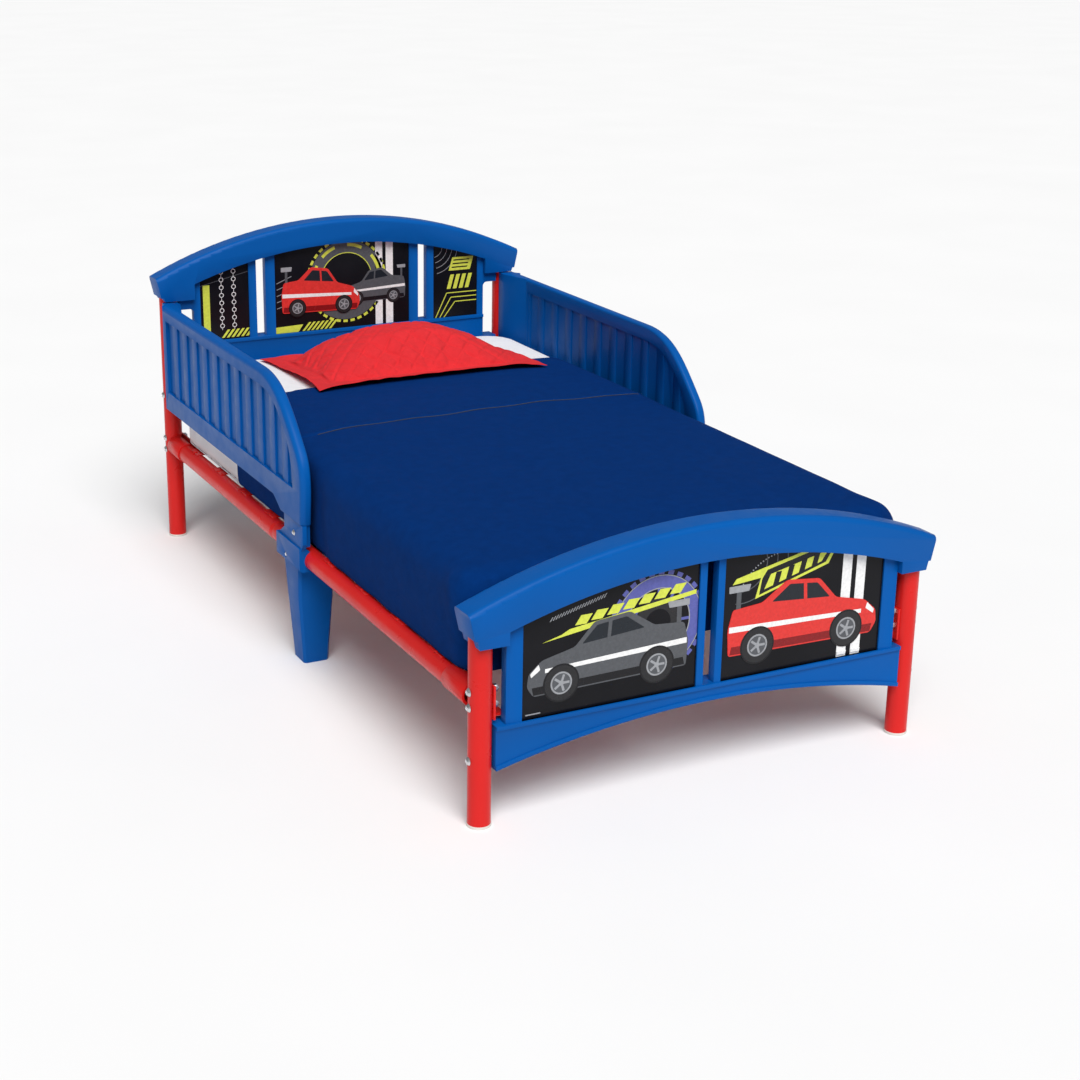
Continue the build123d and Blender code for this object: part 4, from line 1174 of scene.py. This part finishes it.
def make_pillow():
    """A quilted pillow with a flat border, filled, softly wrinkled and settled on the bed."""
    low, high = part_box("pillow")
    half_length = (high.x - low.x) / 2
    half_depth = (high.y - low.y) / 2
    middle = (low + high) / 2
    height = sizes().pillow_height
    bm = pillow_blank(half_length, half_depth, height * 0.8)
    bm.verts.ensure_lookup_table()
    rest = {}
    pinned = []
    for vert in bm.verts:
        u, v = pillow_place(half_length, half_depth, vert)
        rest[vert.index] = (vert.co.x, vert.co.y, max(u, v), vert.co.z > 0)
        if max(u, v) > 0.99:
            pinned.append(vert.index)
    piece = new_piece("pillow_quilted", bm, [cotton("red_cotton", colours().pillow, 0.8 * MM, 0.04, 0.07)])
    fill_with_air(piece, pinned)
    top = max(v.co.z for v in piece.data.vertices)
    finer = bmesh.new()
    finer.from_mesh(piece.data)
    bmesh.ops.subdivide_edges(finer, edges=finer.edges, cuts=1, use_grid_fill=True, smooth=0.6)
    finer.normal_update()
    for vert in finer.verts:
        x, y, z = vert.co
        u, v = pillow_place(half_length, half_depth, vert)
        out = max(u, v)
        upper = z > 0
        inside = 1 - ramp(out, 0.93, 1.0)
        seam = exp(-(((out - 1.0) * (half_depth - PILLOW_BORDER) / (2.4 * MM)) ** 2))
        quilt = stitch_depth(x, y, sizes().quilt_pitch)
        puff = rough_noise((x, y, 2.0), 0.02) * 0.6 * MM
        if z > 0:
            vert.co.z = z * height / top * (1 - 0.42 * ramp(u, 0.15, 1.05))
        vert.co += vert.normal * (inside * (puff - 3.2 * MM * quilt) - 1.6 * MM * seam * (1 if upper else 0))
    for vert in finer.verts:
        x, y, z = vert.co
        u = x / half_length
        v = y / half_depth
        pull_x = 1 - 0.045 * (1 - min(1.0, abs(v)) ** 3) * ramp(abs(u), 0.55, 1.0)
        pull_y = 1 - 0.060 * (1 - min(1.0, abs(u)) ** 3) * ramp(abs(v), 0.55, 1.0)
        border = ramp(max(abs(u), abs(v)), 0.80, 1.0)
        front = ramp(-v, 0.7, 1.0)
        lift = 5.5 * MM * front * (1 - abs(u) ** 6)
        ripple = 3.0 * MM * border * rough_noise((x, y, 4.0), 0.045)
        corner = ramp(abs(u), 0.8, 1.0) * ramp(abs(v), 0.8, 1.0)
        flat_z = max(z, 0.0) if z < 0.004 else z
        sunk = -10 * MM * ramp(v, -0.5, 0.6) * (1 - ramp(z, 4 * MM, 30 * MM))
        settle = 2.5 * MM
        vert.co = Vector((
            middle.x + x * pull_x,
            middle.y + y * pull_y,
            low.z + settle + flat_z + lift + abs(ripple) + sunk - 2 * MM * corner,
        ))
    mesh = piece.data
    finer.to_mesh(mesh)
    finer.free()
    mesh.shade_smooth()
    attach(piece, "pillow")
    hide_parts("pillow")


class BED_OT_pillow(bpy.types.Operator):
    """Make the quilted pillow"""

    bl_idname = "bed.pillow"
    bl_label = "Pillow"

    def execute(self, context):
        make_pillow()
        return {"FINISHED"}


# ------------------------------------------------------------------ stage
FLOOR_REACH = 400
ROOM_LIGHT = 0.24
KEY_TOWARDS = (-0.16, -0.56, 0.76)
KEY_STRENGTH = 3.4
KEY_SPREAD = 40
CAMERA_PLACE = Vector((-1.3534, -2.6788, 1.1925))
CAMERA_TURN = -25.72
CAMERA_DROP = 18.12
CAMERA_ROLL = 0.25
CAMERA_LENS = 63.306
CAMERA_SHIFT = (0.07655, -0.03535)


def studio_floor():
    """Pale matt floor with a faint cloudiness."""
    finish = Finish("studio_floor", (0.9, 0.9, 0.9), 0.9)
    finish.tint(finish.spread(finish.noise(2.0), 0.0, 1.0), (0.9, 0.9, 0.9), 0.99, 1.01)
    return finish.material


def add_lamp(name, towards, strength, spread):
    """Even light from a direction, as from a large lamp that takes up an angle in degrees."""
    light = bpy.data.lights.new(name, "SUN")
    light.energy = strength
    light.angle = radians(spread)
    lamp = bpy.data.objects.new(name, light)
    lamp.matrix_world = Vector(towards).to_track_quat("Z", "Y").to_matrix().to_4x4()
    bpy.context.scene.collection.objects.link(lamp)


class BED_OT_stage(bpy.types.Operator):
    """Make the floor, the lights and the camera"""

    bl_idname = "bed.stage"
    bl_label = "Stage"

    def execute(self, context):
        bm = bmesh.new()
        bmesh.ops.create_grid(bm, x_segments=1, y_segments=1, size=FLOOR_REACH)
        floor = new_piece("floor", bm, [studio_floor()])
        world = bpy.data.worlds.new("studio")
        context.scene.world = world
        world.use_nodes = True
        world.node_tree.nodes["Background"].inputs["Color"].default_value = (1.0, 1.0, 1.0, 1)
        world.node_tree.nodes["Background"].inputs["Strength"].default_value = ROOM_LIGHT
        add_lamp("key", KEY_TOWARDS, KEY_STRENGTH, KEY_SPREAD)
        context.scene.view_settings.view_transform = "Standard"
        turn = radians(CAMERA_TURN)
        drop = radians(CAMERA_DROP)
        back = Vector((sin(turn) * cos(drop), -cos(turn) * cos(drop), sin(drop)))
        right = Vector((cos(turn), sin(turn), 0))
        up = back.cross(right)
        axes = Matrix((right, up, back)).transposed().to_4x4()
        camera = bpy.data.objects.new("camera", bpy.data.cameras.new("camera"))
        roll = Matrix.Rotation(radians(CAMERA_ROLL), 4, "Z")
        camera.matrix_world = Matrix.Translation(CAMERA_PLACE) @ axes @ roll
        camera.data.sensor_width = 36
        camera.data.lens = CAMERA_LENS
        camera.data.shift_x, camera.data.shift_y = CAMERA_SHIFT
        context.scene.collection.objects.link(camera)
        context.scene.camera = camera
        return {"FINISHED"}


# ------------------------------------------------------------------ panel and registration
MAKERS = (
    BED_OT_mouldings,
    BED_OT_steelwork,
    BED_OT_fasteners,
    BED_OT_prints,
    BED_OT_mattress,
    BED_OT_coverlet,
    BED_OT_pillow,
    BED_OT_stage,
)


class BED_PT_panel(bpy.types.Panel):
    """Sizes, colours and the makers of the pieces"""

    bl_idname = "BED_PT_panel"
    bl_label = "Toddler bed"
    bl_space_type = "VIEW_3D"
    bl_region_type = "UI"
    bl_category = "Toddler bed"

    def draw(self, context):
        for group in (context.scene.bed_sizes, context.scene.bed_colours):
            for name in group.__annotations__:
                self.layout.prop(group, name)
        for maker in MAKERS:
            self.layout.operator(maker.bl_idname)


CLASSES = (BedSizes, BedColours, *MAKERS, BED_PT_panel)


def register():
    for cls in CLASSES:
        bpy.utils.register_class(cls)
    bpy.types.Scene.bed_sizes = bpy.props.PointerProperty(type=BedSizes)
    bpy.types.Scene.bed_colours = bpy.props.PointerProperty(type=BedColours)


def unregister():
    del bpy.types.Scene.bed_colours
    del bpy.types.Scene.bed_sizes
    for cls in reversed(CLASSES):
        bpy.utils.unregister_class(cls)


def main():
    register()
    bpy.ops.bed.mouldings()
    bpy.ops.bed.steelwork()
    bpy.ops.bed.fasteners()
    bpy.ops.bed.prints()
    bpy.ops.bed.mattress()
    bpy.ops.bed.coverlet()
    bpy.ops.bed.pillow()
    bpy.ops.bed.stage()


if __name__ == "__main__":
    main()
